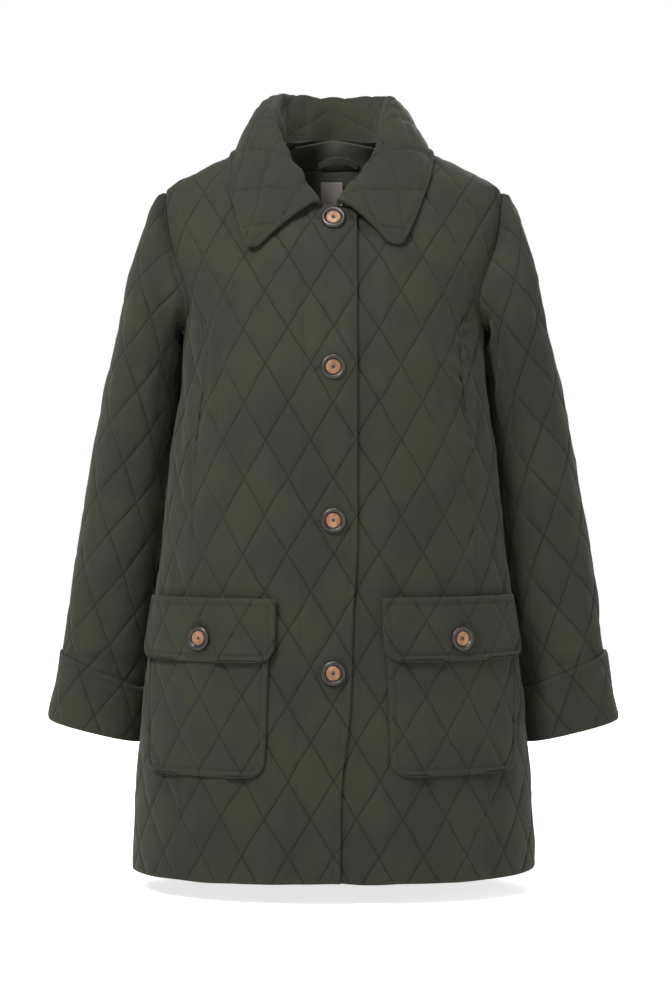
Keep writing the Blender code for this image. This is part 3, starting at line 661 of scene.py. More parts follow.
def quilting(u, v, seed, wobble=0.0013):
    """How the two families of stitched lines lie on the cloth: a whole number is on a line."""
    u = u + wobble * noise(u / 0.045, v / 0.045, seed) + 0.4 * wobble * noise(u / 0.012, v / 0.012, seed + 1)
    v = v + wobble * noise(u / 0.050, v / 0.050, seed + 2)
    falling = (u / QUILT_WIDTH - (v - QUILT_START) / QUILT_HEIGHT) / 2
    rising = (u / QUILT_WIDTH + (v - QUILT_START) / QUILT_HEIGHT) / 2
    return falling, rising


LINE_GAP = 2 * QUILT_WIDTH * QUILT_HEIGHT / math.hypot(QUILT_WIDTH, QUILT_HEIGHT)


def padding(falling, rising, u, v, seed, puff=PUFF):
    """Height of the padding between the stitched lines, with the small puckers beside them."""
    first = np.abs(falling - np.round(falling)) * LINE_GAP
    second = np.abs(rising - np.round(rising)) * LINE_GAP
    near = np.minimum(first, second)
    body = (1 - np.exp(-first / PUFF_REACH)) * (1 - np.exp(-second / PUFF_REACH))
    body *= 1 + 0.35 * noise(falling * 2, rising * 2, seed + 5)
    groove = GROOVE * np.exp(-((near / GROOVE_WIDTH) ** 2))
    pucker = noise(u / 0.0060, v / 0.0060, seed + 3) * np.exp(-near / 0.0065) * 0.00060
    drift = noise(u / 0.021, v / 0.030, seed + 4) * 0.00070 + noise(u / 0.010, v / 0.018, seed + 6) * 0.00034
    return puff * (body - 0.35) - groove + pucker + drift


def beside(x, y, path):
    """Distance of points from a path, and how far along it they are from 0 to 1."""
    path = np.asarray(path, dtype=float)
    starts = travelled(path)
    sizes = np.linalg.norm(np.diff(path, axis=0), axis=1)
    nearest = np.full(np.shape(x), 9.0)
    share = np.zeros(np.shape(x))
    for (ax, ay), (bx, by), size, start in zip(path[:-1], path[1:], sizes, starts):
        t = ((x - ax) * (bx - ax) + (y - ay) * (by - ay)) / size**2
        t = np.clip(t, 0, 1)
        distance = np.hypot(x - ax - t * (bx - ax), y - ay - t * (by - ay))
        closer = distance < nearest
        nearest = np.where(closer, distance, nearest)
        share = np.where(closer, (start + t * size) / starts[-1], share)
    return nearest, share


CREASE_GAIN = 1.5


def creases(x, y, rows):
    """Height of the creases in rows of (path, width, height)."""
    total = np.zeros(np.shape(x))
    for path, width, height in rows:
        distance, share = beside(x, y, through(path, np.linspace(0, 1, 9)))
        fade = np.sin(math.pi * np.clip(share, 0, 1)) ** 0.7
        lip = np.exp(-((distance / width) ** 2)) - 0.45 * np.exp(-((distance / (2.2 * width)) ** 2))
        total += CREASE_GAIN * height * fade * lip
    return total


def rolled(distance, depth=0.0011, reach=0.0026):
    """How far the outer face turns down towards an edge."""
    t = np.clip(1 - distance / reach, 0, 1)
    return depth * (1 - np.sqrt(1 - t * t * 0.98))


def stitched_down(distance, at=TOPSTITCH_IN):
    """The channel of a line of topstitching at a distance from an edge."""
    return TOPSTITCH_GROOVE * np.exp(-(((distance - at) / 0.0014) ** 2))


# ---------------------------------------------------------------- finishes


class Tree:
    """A material's nodes, added one after another."""

    def __init__(self, name):
        self.material = bpy.data.materials.new(name)
        self.material.use_nodes = True
        self.nodes = self.material.node_tree.nodes
        self.links = self.material.node_tree.links
        self.shader = self.nodes["Principled BSDF"]

    def node(self, kind, **values):
        made = self.nodes.new(kind)
        for name, value in values.items():
            setattr(made, name, value)
        return made

    def join(self, output, socket):
        self.links.new(output, socket)

    def feed(self, socket, value):
        if isinstance(value, (int, float)):
            socket.default_value = value
        else:
            self.join(value, socket)

    def maths(self, operation, first, second=0.0, third=0.0):
        made = self.node("ShaderNodeMath", operation=operation)
        for socket, value in zip(made.inputs, (first, second, third)):
            self.feed(socket, value)
        return made.outputs[0]

    def mix(self, share, first, second):
        """Colour between two colours, which may be outputs or plain (r, g, b) values."""
        made = self.node("ShaderNodeMix", data_type="RGBA")
        self.feed(made.inputs["Factor"], share)
        for socket, value in ((made.inputs["A"], first), (made.inputs["B"], second)):
            if isinstance(value, tuple):
                socket.default_value = (*value, 1.0)
            else:
                self.join(value, socket)
        return made.outputs["Result"]

    def noise(self, vector, scale, detail=2.0, stretch=(1.0, 1.0, 1.0)):
        placed = self.node("ShaderNodeMapping")
        placed.inputs["Scale"].default_value = stretch
        self.join(vector, placed.inputs["Vector"])
        made = self.node("ShaderNodeTexNoise")
        made.inputs["Scale"].default_value = scale
        made.inputs["Detail"].default_value = detail
        self.join(placed.outputs[0], made.inputs["Vector"])
        return made.outputs["Fac"]

    def between(self, value, low, high):
        """Rises smoothly from 0 at low to 1 at high, or falls if low is the larger."""
        made = self.node("ShaderNodeMapRange", interpolation_type="SMOOTHSTEP")
        self.feed(made.inputs["Value"], value)
        made.inputs["From Min"].default_value = min(low, high)
        made.inputs["From Max"].default_value = max(low, high)
        made.inputs["To Min"].default_value = 0.0 if low < high else 1.0
        made.inputs["To Max"].default_value = 1.0 if low < high else 0.0
        return made.outputs["Result"]

    def bump(self, height, distance, strength=1.0):
        made = self.node("ShaderNodeBump")
        made.inputs["Strength"].default_value = strength
        made.inputs["Distance"].default_value = distance
        self.join(height, made.inputs["Height"])
        self.join(made.outputs["Normal"], self.shader.inputs["Normal"])

    def surface(self, roughness, specular=0.5, sheen=0.0, sheen_roughness=0.5, tint=(1, 1, 1)):
        inputs = self.shader.inputs
        inputs["Roughness"].default_value = roughness
        inputs["Specular IOR Level"].default_value = specular
        inputs["Sheen Weight"].default_value = sheen
        inputs["Sheen Roughness"].default_value = sheen_roughness
        inputs["Sheen Tint"].default_value = (*tint, 1.0)


OLIVE = (0.0188, 0.0203, 0.0108)
CHARCOAL = (0.0142, 0.0148, 0.0118)
THREAD = (0.0060, 0.0066, 0.0045)


def worn_cloth(tree, cloth, place, olive, charcoal):
    """Garment-dyed colour: patches of olive and charcoal with faint upright streaks."""
    patches = tree.between(tree.noise(place, 17.0, 4.0), 0.36, 0.64)
    colour = tree.mix(patches, charcoal, olive)
    streaks = tree.between(tree.noise(cloth, 1.0, 2.0, (420.0, 22.0, 1.0)), 0.30, 0.75)
    colour = tree.mix(tree.maths("MULTIPLY", streaks, 0.16), colour, tuple(1.9 * c for c in charcoal))
    fuzz = tree.noise(cloth, 1500.0, 2.0)
    return tree.mix(tree.maths("MULTIPLY", fuzz, 0.22), colour, tuple(0.4 * c for c in olive)), fuzz


def weave(tree, cloth):
    """Fine ribs of the cloth, up and across."""
    apart = tree.node("ShaderNodeSeparateXYZ")
    tree.join(cloth, apart.inputs[0])
    threads = 2 * math.pi / 0.0008
    up = tree.maths("SINE", tree.maths("MULTIPLY", apart.outputs[0], threads))
    over = tree.maths("SINE", tree.maths("MULTIPLY", apart.outputs[1], threads))
    return tree.maths("MULTIPLY", up, over)


def quilted_finish(name, olive=OLIVE, charcoal=CHARCOAL, lines=1.0):
    tree = Tree(name)
    cloth = tree.node("ShaderNodeUVMap", uv_map="cloth").outputs[0]
    quilt = tree.node("ShaderNodeUVMap", uv_map="quilt").outputs[0]
    place = tree.node("ShaderNodeTexCoord").outputs["Object"]
    colour, fuzz = worn_cloth(tree, cloth, place, olive, charcoal)
    apart = tree.node("ShaderNodeSeparateXYZ")
    tree.join(quilt, apart.inputs[0])
    groove_bump_and_shade_masks, stitches = [], []
    side = math.hypot(QUILT_WIDTH, QUILT_HEIGHT) * 2
    for across, along in ((0, 1), (1, 0)):
        away = tree.maths("PINGPONG", apart.outputs[across], 0.5)
        away = tree.maths("MULTIPLY", away, LINE_GAP)
        groove_bump_and_shade_masks.append(tree.between(away, 0.0012, 0.0003))
        thread = tree.between(away, 0.0005, 0.0002)
        beat = tree.maths("PINGPONG", tree.maths("MULTIPLY", apart.outputs[along], side / STITCH_PITCH), 0.5)
        stitches.append(tree.maths("MULTIPLY", thread, tree.between(beat, 0.10, 0.20)))
    groove = tree.maths("MAXIMUM", *groove_bump_and_shade_masks)
    stitch = tree.maths("MAXIMUM", *stitches)
    # Painted shade: a band along each stitched groove is darkened toward the thread's colour as shade in the
    # recess. The same masks also sink the grooves as a bump, and the thread itself is the dashes added next.
    colour = tree.mix(tree.maths("MULTIPLY", groove, 0.42 * lines), colour, THREAD)
    colour = tree.mix(tree.maths("MULTIPLY", stitch, 0.75 * lines), colour, tuple(0.9 * c for c in THREAD))
    tree.join(colour, tree.shader.inputs["Base Color"])
    tree.surface(0.86, specular=0.20, sheen=0.08, sheen_roughness=0.45, tint=(0.80, 0.86, 0.70))
    height = tree.maths("MULTIPLY", groove, -0.55 * lines)
    height = tree.maths("MULTIPLY_ADD", stitch, 0.30 * lines, height)
    height = tree.maths("MULTIPLY_ADD", weave(tree, cloth), 0.05, height)
    height = tree.maths("MULTIPLY_ADD", fuzz, 0.22, height)
    tree.bump(height, 0.0009, 1.0)
    return tree.material


def plain_finish(name, colour, streak, roughness, sheen):
    tree = Tree(name)
    cloth = tree.node("ShaderNodeUVMap", uv_map="cloth").outputs[0]
    place = tree.node("ShaderNodeTexCoord").outputs["Object"]
    made, fuzz = worn_cloth(tree, cloth, place, colour, streak)
    tree.join(made, tree.shader.inputs["Base Color"])
    tree.surface(roughness, specular=0.25, sheen=sheen, sheen_roughness=0.45)
    height = tree.maths("MULTIPLY_ADD", weave(tree, cloth), 0.12, tree.maths("MULTIPLY", fuzz, 0.2))
    tree.bump(height, 0.0006, 0.7)
    return tree.material


def thread_finish():
    tree = Tree("thread")
    place = tree.node("ShaderNodeTexCoord").outputs["Object"]
    twist = tree.noise(place, 2600.0, 1.0)
    tree.join(tree.mix(twist, THREAD, tuple(1.8 * c for c in THREAD)), tree.shader.inputs["Base Color"])
    tree.surface(0.62, specular=0.4, sheen=0.05)
    tree.bump(twist, 0.0003, 0.5)
    return tree.material


def horn_finish(name, dark, light, roughness, scale):
    """Polished horn with cloudy streaks."""
    tree = Tree(name)
    place = tree.node("ShaderNodeTexCoord").outputs["Object"]
    cloud = tree.between(tree.noise(place, scale, 3.0, (1.0, 1.0, 0.35)), 0.38, 0.70)
    tree.join(tree.mix(cloud, dark, light), tree.shader.inputs["Base Color"])
    tree.surface(roughness, specular=0.4)
    tree.shader.inputs["Coat Weight"].default_value = 0.08
    tree.shader.inputs["Coat Roughness"].default_value = 0.18
    tree.bump(tree.noise(place, 900.0, 2.0), 0.0002, 0.25)
    return tree.material


FABRIC = quilted_finish("quilted_cloth")
# Painted shade: the collar is the same quilted cloth with its olive darkened to 0.92 of the body's, to
# offset the top light falling on the collar. Its lines are fainter too.
COLLAR_SHADED_FABRIC = quilted_finish("collar_cloth", tuple(0.92 * c for c in OLIVE), CHARCOAL, 0.55)
LINING = plain_finish("plain_lining", (0.0560, 0.0580, 0.0420), (0.0500, 0.0510, 0.0420), 0.75, 0.08)
FACING = plain_finish("neck_facing", (0.0370, 0.0390, 0.0280), (0.0330, 0.0345, 0.0280), 0.75, 0.08)
LABEL = plain_finish("blank_label", (0.250, 0.212, 0.205), (0.215, 0.186, 0.182), 0.65, 0.05)
SEWING = thread_finish()
HORN = horn_finish("dark_horn", (0.0085, 0.0070, 0.0060), (0.0260, 0.0190, 0.0130), 0.36, 130.0)
TAN_HORN = horn_finish("tan_horn", (0.130, 0.058, 0.024), (0.235, 0.115, 0.056), 0.48, 210.0)

# ---------------------------------------------------------------- fronts, sides and back


HEM_WAVE = 0.0016
EDGE_ROLL = 0.0012        # how far the hem and the opening edge turn down
SEAM_ROLL = 0.0004
SEAM_REACH = 0.0016       # width over which a seam's edge turns down
PLACKET_TOP = 0.09        # drop where the placket's stitching starts
PRINCESS_IN = 0.0045      # topstitching beside the princess seam
EDGE_IN = 0.0080          # topstitching inside the right front's opening edge


def torso_panel(name, grid, side, flip, seed, channels=(), sink=None):
    """A panel on the body; grid is (turn, drop), its rows run from the hem up.

    channels are (edge, distance) pairs for lines of topstitching, and sink gives how far
    points lie inside the body's surface.
    """
    length = travelled(torso(grid[:, 0, 0], grid[:, 0, 1]))[-1]
    width = max(travelled(torso(row[:, 0], row[:, 1]))[-1] for row in grid[::6])
    fine = resampled(grid, spaced(length), spaced(width))
    turn, drop = side * fine[..., 0], fine[..., 1]
    points = torso(turn, drop)
    if sink is not None:
        away = grid_normals(points, flip)
        points = points - away * sink(points)[..., None]
    edges = from_edges(points)
    u, v = round_length(turn, drop), down_length(drop)
    points[..., 2] += HEM_WAVE * noise(u / 0.034, 0 * u, 17) * (drop / LENGTH).clip(0, 1) ** 14
    falling, rising = quilting(u, v, seed)
    edge = np.minimum.reduce(edges)
    height = padding(falling, rising, u, v, seed) * ease(edge / 0.0045)
    height -= rolled(np.minimum(edges[1], edges[3]) if name != "back" else edge, SEAM_ROLL, SEAM_REACH)
    height -= rolled(edges[0], EDGE_ROLL)
    if name.startswith("front"):
        height -= rolled(edges[2], EDGE_ROLL)
    for which, distance in channels:
        height -= stitched_down(edges[which], distance)
    if name == "front_right":
        from_placket = np.abs(points[..., 0] + smooth(PLACKET["drop"], PLACKET["x"], drop))
        height -= 1.2 * TOPSTITCH_GROOVE * np.exp(-((from_placket / 0.0015) ** 2)) * (drop > PLACKET_TOP)
        height += 0.0005 * noise(drop / 0.009, points[..., 0] / 0.02, 33) * np.exp(-from_placket / 0.006)
        height += 0.0004 * noise(drop / 0.011, 0 * drop, 35) * np.exp(-edges[2] / 0.007)
    height += creases(points[..., 0], drop, CREASES.get(name, ()))
    height += seam_puckers(name, edges, points, seed)
    quilt_at, cloth_at = np.stack((falling, rising), axis=-1), np.stack((u, -v), axis=-1)
    piece = shell(name + "_cloth", points, height, quilt_at, cloth_at, CLOTH, FABRIC, flip)
    finish_piece(piece, name)


# (edge, height) of the seam whose easing puckers a panel.
EASED = {"front_right": (3, 0.0011), "front_left": (3, 0.0018),
         "side_right": (2, 0.0010), "side_left": (2, 0.0015)}


def seam_puckers(name, edges, points, seed):
    """Small gathers across the princess seam, where the chest is eased into it."""
    edge, height = EASED.get(name, (3, 0.0))
    drop = -points[..., 2]
    along = noise(drop / 0.0075 + 0.3 * edges[edge] / 0.006, edges[edge] / 0.016, seed + 11)
    place = ease((drop - 0.165) / 0.04) * (1 - ease((drop - 0.300) / 0.07))
    return height * along * place * np.exp(-edges[edge] / 0.016)


def finish_piece(piece, node):
    """Puts a cloth piece on the frame in place of its CAD node. The loop is too narrow for a sheet."""
    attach(piece, "root")
    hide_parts(node)


def front_grid(edge_seam):
    outer = np.concatenate((princess_points(), HALF_ARMHOLE[False][PRINCESS_STATION * FINER - 1::-1]))
    inner = by_length(edge_seam + front_neckline()[::-1], lengths_along(outer))
    shares = np.linspace(0, 1, FRONT_COLUMNS * FINER + 1)
    bottom = np.array(straight(inner[0], outer[0], len(shares)))
    top = by_length(straight(inner[-1], outer[-1]), shares)
    return panel_grid(bottom, top, inner, outer)


def front_edge(line):
    """The opening edge of a front, up to the neckline; line gives x at a drop."""
    return [(turn_at_x(line(d), d), d) for d in np.linspace(LENGTH, NECK_DROP + 0.0035, 61)]


def side_grid():
    inner, outer = princess_points(), side_seam_points()
    top = HALF_ARMHOLE[False][PRINCESS_STATION * FINER:]
    return panel_grid(np.array(straight(inner[0], outer[0], len(top))), top, inner, outer)


def back_grid():
    """Half of the back, from the side seam to the centre back."""
    outer = np.concatenate((side_seam_points(), HALF_ARMHOLE[True][-2::-1]))
    ridge_shares = np.linspace(0, 1, FRONT_COLUMNS * FINER + 1)
    ridge = by_length(straight((1.0, SHOULDER_DROP), (1.0, 0.0)), ridge_shares)
    neck = by_length(back_neckline()[::-1], np.linspace(0, 1, BACK_NECK_COLUMNS * FINER + 1))
    half_top = np.concatenate((ridge, neck[1:]))
    bottom = np.array(straight((1.0, LENGTH), (2.0, LENGTH), len(half_top)))
    middle = by_length(straight((2.0, LENGTH), (2.0, -NECK_RISE), 61), lengths_along(outer))
    return panel_grid(bottom, half_top, outer, middle)


def front_x(drop):
    return -smooth(FRONT_EDGE["drop"], FRONT_EDGE["x"], drop)


UNDERLAP_END = 0.055      # x where the left front has risen out from under the right one
UNDERLAP_SLOPE = 0.022    # width over which it rises

right_grid = front_grid(front_edge(lambda d: float(front_x(d))))
torso_panel("front_right", right_grid, RIGHT, True, 20, ((2, EDGE_IN), (3, PRINCESS_IN)))
left_grid = front_grid(front_edge(lambda d: UNDERLAP_X))
torso_panel("front_left", left_grid, LEFT, False, 40, ((3, PRINCESS_IN),),
            lambda p: (CLOTH + UNDERLAP_GAP) * ease((UNDERLAP_END - p[..., 0]) / UNDERLAP_SLOPE))
for side_name, side, seed in (("side_right", RIGHT, 60), ("side_left", LEFT, 70)):
    torso_panel(side_name, side_grid(), side, side == RIGHT, seed)
half_back = back_grid()
other_half = np.stack((4.0 - half_back[:, -2::-1, 0], half_back[:, -2::-1, 1]), axis=-1)
torso_panel("back", np.concatenate((half_back, other_half), axis=1), 1, False, 80)

# ---------------------------------------------------------------- sleeves and cuffs


def sleeve_section(i, angles, grow):
    """One section of the left sleeve, as points round it from the outer side by the front."""
    s = {name: SLEEVE[name][i] for name in SLEEVE}
    outer = np.array((s["outer_x"], 0.0, -s["outer_drop"]))
    inner = np.array((s["inner_x"], 0.0, -s["inner_drop"]))
    centre, half = (outer + inner) / 2, (outer - inner) / 2
    half *= 1 + grow / np.linalg.norm(half)
    middle = (s["back"] - s["front"]) / 2
    depth = (s["back"] + s["front"]) / 2 + grow
    across = np.sign(np.cos(angles)) * np.abs(np.cos(angles)) ** (2 / SLEEVE_SQUARE)
    forward = np.sign(np.sin(angles)) * np.abs(np.sin(angles)) ** (2 / SLEEVE_SQUARE)
    depths = np.stack((np.zeros(len(angles)), middle - depth * forward, np.zeros(len(angles))), axis=1)
    return centre + half * across[:, None] + depths


def sleeve_surface(shares, lift=0.0):
    """The left sleeve's surface, its columns from the underarm seam by the front and round again."""
    half = HALF_ARMHOLE[False], HALF_ARMHOLE[True]
    front, back = (torso(seam[:, 0], seam[:, 1]) for seam in half)
    hole = np.concatenate((front[::-1], back[1:]))
    angles = math.pi * np.concatenate((ARMHOLE_STATIONS[::-1], -ARMHOLE_STATIONS[1:]))
    loops = [hole] + [sleeve_section(i, angles, lift) for i in range(len(SLEEVE["front"]))]
    for i, share in enumerate(CAP_SHARES, start=1):
        moved = hole - hole[:-1].mean(axis=0) + loops[i].mean(axis=0)
        loops[i] = share * moved + (1 - share) * loops[i]
    lines = np.array(loops).transpose(1, 0, 2)
    return np.array([through(line, shares) for line in lines]).transpose(1, 0, 2)


def evened(points, count_shares):
    """The grid's rows resampled at even distances along each of them."""
    made = np.empty((len(points), len(count_shares), 3))
    for r, row in enumerate(points):
        along = travelled(row)
        for axis in range(3):
            made[r, :, axis] = np.interp(count_shares * along[-1], along, row[:, axis])
    return made


def tube_panel(name, side, start, end, lift, seed, channels=(), rows=()):
    """A stretch of a sleeve, closed by a seam under the arm."""
    length = (end - start) * SLEEVE_LENGTH
    shares = start + (end - start) * spaced(length)
    coarse = sleeve_surface(shares, lift)
    girths = np.linalg.norm(np.diff(coarse, axis=1), axis=2)
    around = spaced(girths[len(coarse) // 3].sum())
    tuck = 0.0
    if start == 0:
        tuck = SEAM_TUCK
        back = (coarse[0] - coarse[4]) / EDGE_STEPS[-1]
        sunk = grid_normals(coarse, True)[0]
        shares = np.concatenate((np.zeros(INNER_EVERY), shares))
        coarse = np.concatenate(([coarse[0] + tuck * t * back - 0.0022 * t * sunk
                                  for t in np.linspace(1, 0, INNER_EVERY + 1)[:-1]], coarse))
        girths = np.concatenate((girths[:1].repeat(INNER_EVERY, axis=0), girths))
    left = evened(coarse, around)
    v = left @ SLEEVE_AXIS
    points = left * np.array((side, 1, 1))
    flip = side == LEFT
    edges = from_edges(points)
    total = edges[2][:, -1:]
    u = round_sleeve(left) * side
    falling, rising = quilting(u + SLEEVE_PHASE[side], v + QUILT_START, seed)
    seams = np.minimum(edges[2], edges[3])
    ends = np.minimum(np.maximum(edges[0] - tuck, 0), edges[1])
    height = padding(falling, rising, u, v, seed) * ease(ends / 0.005) * ease(seams / 0.005)
    if start == 0:
        near_top = ease((points[..., 2] + 0.150) / 0.080)
        height -= CAP_EASE * near_top * np.exp(-((edges[0] - tuck - 0.011) / 0.013) ** 2)
    height -= rolled(seams, 0.0006, 0.0020)
    height -= rolled(ends, 0.0004 if start == 0 else 0.0011)
    for which, distance in channels:
        height -= stitched_down(edges[which], distance)
    down = shares[:, None] * SLEEVE_LENGTH + 0 * u
    height += creases(u * side, down, rows)
    from_back = np.abs((edges[2] / total - LEAN_PLACE + 0.5) % 1 - 0.5) * total
    lean = LEAN_TOP + (LEAN_LOW - LEAN_TOP) * ease((down - 0.10) / 0.15)
    height += lean * np.exp(-((from_back / 0.034) ** 2)) * ease(down / 0.020)
    height += 0.0012 * noise(u / 0.045, down / 0.060, seed + 9) * ease(ends / 0.05)
    quilt_at, cloth_at = np.stack((falling, rising), axis=-1), np.stack((u, -v), axis=-1)
    piece = shell(name + "_cloth", points, height, quilt_at, cloth_at, CLOTH, FABRIC, flip)
    finish_piece(piece, name)


SLEEVE_AXIS = np.array((0.205, 0.0, -0.979))
SLEEVE_ACROSS = np.array((0.979, 0.0, 0.205))
SLEEVE_MIDDLE = 0.134     # where the front line of a sleeve lies, along SLEEVE_ACROSS
CAP_EASE = 0.0020         # that the head of a sleeve lies below the CAD's form beside the shoulder
SEAM_TUCK = 0.0035        # of the sleeve's head, under the edge of the armhole


def round_sleeve(points):
    """Distance round a sleeve, square to its axis, from a straight line down its front."""
    flat = points - (points @ SLEEVE_AXIS)[..., None] * SLEEVE_AXIS
    gaps = np.linalg.norm(np.diff(flat, axis=1), axis=2)
    along = np.concatenate((np.zeros((len(points), 1)), gaps.cumsum(axis=1)), axis=1)
    across = points @ SLEEVE_ACROSS
    half = points.shape[1] // 2
    start = [np.interp(SLEEVE_MIDDLE, across[r, :half], along[r, :half]) for r in range(len(points))]
    return along - np.array(start)[:, None]


LEAN_PLACE = 0.93         # share of the way round where a sleeve leans on the body from behind
LEAN_TOP = 0.0100
LEAN_LOW = 0.0048
SLEEVE_PHASE = {RIGHT: 0.012, LEFT: 0.004}
CUFF_START = 1 - CUFF_HEIGHT / SLEEVE_LENGTH

for side_word, side, seed in (("right", RIGHT, 100), ("left", LEFT, 120)):
    tube_panel("sleeve_" + side_word, side, 0.0, 0.9985, 0.0, seed, rows=SLEEVE_CREASES[side])
    tube_panel("cuff_" + side_word, side, CUFF_START, 1.0, LAY_GAP + CLOTH, seed + 8,
               channels=((0, TOPSTITCH_IN),))

# ---------------------------------------------------------------- collar


def half_neckline(shares):
    """Real points of the neckline of the left side, from the centre back to the centre front."""
    seam = np.array(back_neckline() + front_neckline()[1:])
    at = by_length(seam, shares)
    return torso(at[:, 0], at[:, 1])


def body_measure(points):
    """1 on the body's surface, more outside it and less inside."""
    width, front, back, square = body_sizes(-points[..., 2])
    depth = np.where(points[..., 1] < 0, front, back)
    x, y = np.abs(points[..., 0]) / width, np.abs(points[..., 1]) / depth
    return (x**square + y**square) ** (1 / square)


def clear_of_body(points, clearance):
    """The points, moved straight off the body's surface where they lie closer than the clearance."""
    step = 0.0005
    for _ in range(4):
        here = body_measure(points)
        slope = np.stack([(body_measure(points + step * axis) - here) / step for axis in np.eye(3)], axis=-1)
        steepness = np.linalg.norm(slope, axis=-1)
        short = np.maximum(clearance - (here - 1) / steepness, 0.0)
        points = points + (short / steepness)[..., None] * slope
    return points


def collar_half(side, shares, stand_steps, leaf_steps):
    """Columns of the collar at shares of the half neckline, each from the seam over the fold."""
    seams = half_neckline(shares * COLLAR_END)
    edge = "left" if side == LEFT else "right"

    def column(name):
        return smooth(COLLAR["along"], COLLAR[name], shares)

    rolls = np.column_stack((column("roll_x"), column("roll_y"), column("roll_z")))
    tips = np.column_stack((column(edge + "_x"), column("edge_y"), column(edge + "_z")))
    up = rolls - seams
    up /= np.linalg.norm(up, axis=1)[:, None]
    out = (tips - rolls) * (1, 1, 0)
    out /= np.maximum(np.linalg.norm(out, axis=1), 1e-6)[:, None]
    start = seams + (STAND_START - STAND_TUCK * ease((0.93 - shares) / 0.1))[:, None] * up
    t = stand_steps[None, :, None]
    sag = 0.003 * (1 - shares)[:, None, None] * np.sin(math.pi * t)
    stand = start[:, None] + (rolls - start)[:, None] * t - out[:, None] * sag
    over = (rolls + 0.010 * out + 0.006 * up)[:, None]
    lower = (tips + (rolls - tips) * 0.45 + out * 0.010)[:, None]
    t = leaf_steps[None, 1:, None]
    leaf = ((1 - t)**3 * rolls[:, None] + 3 * (1 - t)**2 * t * over + 3 * (1 - t) * t**2 * lower
            + t**3 * tips[:, None])
    leaf = clear_of_body(leaf, COLLAR_CLOTH + LEAF_GAP)
    made = np.concatenate((stand, leaf), axis=1)
    made[..., 0] *= side
    made[..., 0] += COLLAR_SHIFT * shares[:, None] ** 2
    return made


COLLAR_STAND_STEPS = 18
COLLAR_LEAF_STEPS = 46
COLLAR_COLUMNS = 104
COLLAR_IN = 0.0070        # topstitching inside the collar's edge
STAND_TUCK = 0.0050       # of the stand's lower edge, tucked behind the back's top edge
TIP_RADIUS = 0.0105
TIP_POWER = 1.7           # below 2, as the tips are sharper than square corners


def rounded_tips(points, edges):
    """The grid with the two corners of its leaf's edge drawn onto arcs."""
    made = points.copy()
    along = np.gradient(points, axis=0)
    down = np.gradient(points, axis=1)
    along /= np.linalg.norm(along, axis=2, keepdims=True)
    down /= np.linalg.norm(down, axis=2, keepdims=True)
    for end, way in ((edges[0], 1), (edges[1], -1)):
        a = np.maximum(TIP_RADIUS - end, 0.0)
        b = np.maximum(TIP_RADIUS - edges[3], 0.0)
        reach = (a**TIP_POWER + b**TIP_POWER) ** (1 / TIP_POWER)
        squeeze = 1 - np.maximum(a, b) / np.maximum(reach, 1e-9)
        corner = (a > 0) & (b > 0)
        made += np.where(corner, a * squeeze, 0.0)[..., None] * way * along
        made -= np.where(corner, b * squeeze, 0.0)[..., None] * down
    return made


def collar():
    shares = 1 - (1 - np.linspace(0, 1, COLLAR_COLUMNS + 1)) ** 1.15
    near_end = 1 - np.array(EDGE_STEPS[:0:-1]) / 0.20
    shares = np.unique(np.concatenate((shares[shares < near_end[0]], near_end, (1.0,))))
    shares = thinned_to(shares, INNER_EVERY)
    leaf_end = 1 - np.array(EDGE_STEPS[::-1]) / 0.085
    leaf_steps = np.concatenate((np.linspace(0, leaf_end[0], COLLAR_LEAF_STEPS - 3)[:-1], leaf_end))
    stand_steps = np.linspace(0, 1, COLLAR_STAND_STEPS + 1)
    halves = [collar_half(side, shares, stand_steps, leaf_steps) for side in (RIGHT, LEFT)]
    points = np.concatenate((halves[0][::-1], halves[1][1:]), axis=0)
    across = points.shape[1] - 1
    points = points[:, (across % INNER_EVERY):]
    edges = from_edges(points)
    fold = COLLAR_STAND_STEPS - (across % INNER_EVERY)
    along = travelled(points[:, fold])
    middle = np.interp((len(along) - 1) / 2, np.arange(len(along)), along)
    u = np.repeat((along - middle)[:, None], points.shape[1], axis=1)
    v = edges[2] - edges[2][:, fold:fold + 1]
    falling, rising = quilting(0.80 * u + 0.25 * v * np.sign(u), v * 1.15, 140, 0.0018)
    edge = np.minimum.reduce((edges[0], edges[1], edges[3]))
    points = rounded_tips(points, edges)
    height = padding(falling, rising, u, v, 140, 0.0013) * ease(edge / 0.009)
    height -= rolled(edge, 0.0014, 0.0032)
    height -= 2.0 * stitched_down(edge, COLLAR_IN)
    height += creases(u, v, COLLAR_CREASES)
    fold_puckers = noise(u / 0.017, v / 0.022, 151) * np.exp(-((v / 0.016) ** 2))
    height += 0.0022 * fold_puckers + 0.0011 * noise(u / 0.030, v / 0.024, 152)
    inside = ease(-v / 0.02)
    height += 0.0020 * inside * noise(u / 0.011, v / 0.050, 153)
    height += 0.0007 * noise(u / 0.007, v / 0.007, 154) * np.exp(-np.abs(edge - COLLAR_IN) / 0.005)
    quilt_at = np.stack((falling, rising), axis=-1)
    piece = shell("collar_cloth_piece", points, height, quilt_at, np.stack((u, v), axis=-1),
                  COLLAR_CLOTH, COLLAR_SHADED_FABRIC, True)
    finish_piece(piece, "collar")


def thinned_to(shares, multiple):
    """The shares without the second ones that keep their count from being a multiple plus one."""
    extra = (len(shares) - 1) % multiple
    return np.delete(shares, np.arange(2, 2 + 2 * extra, 2))


collar()

# ---------------------------------------------------------------- inside the back neck


def neck_top(turn):
    return -NECK_RISE * np.cos(np.abs(turn) * math.pi / 2) ** 2 + 0.0012


def facing_bottom(turn):
    return neck_top(turn) + FACING_DEPTH * (1 - 0.25 * np.abs(turn))


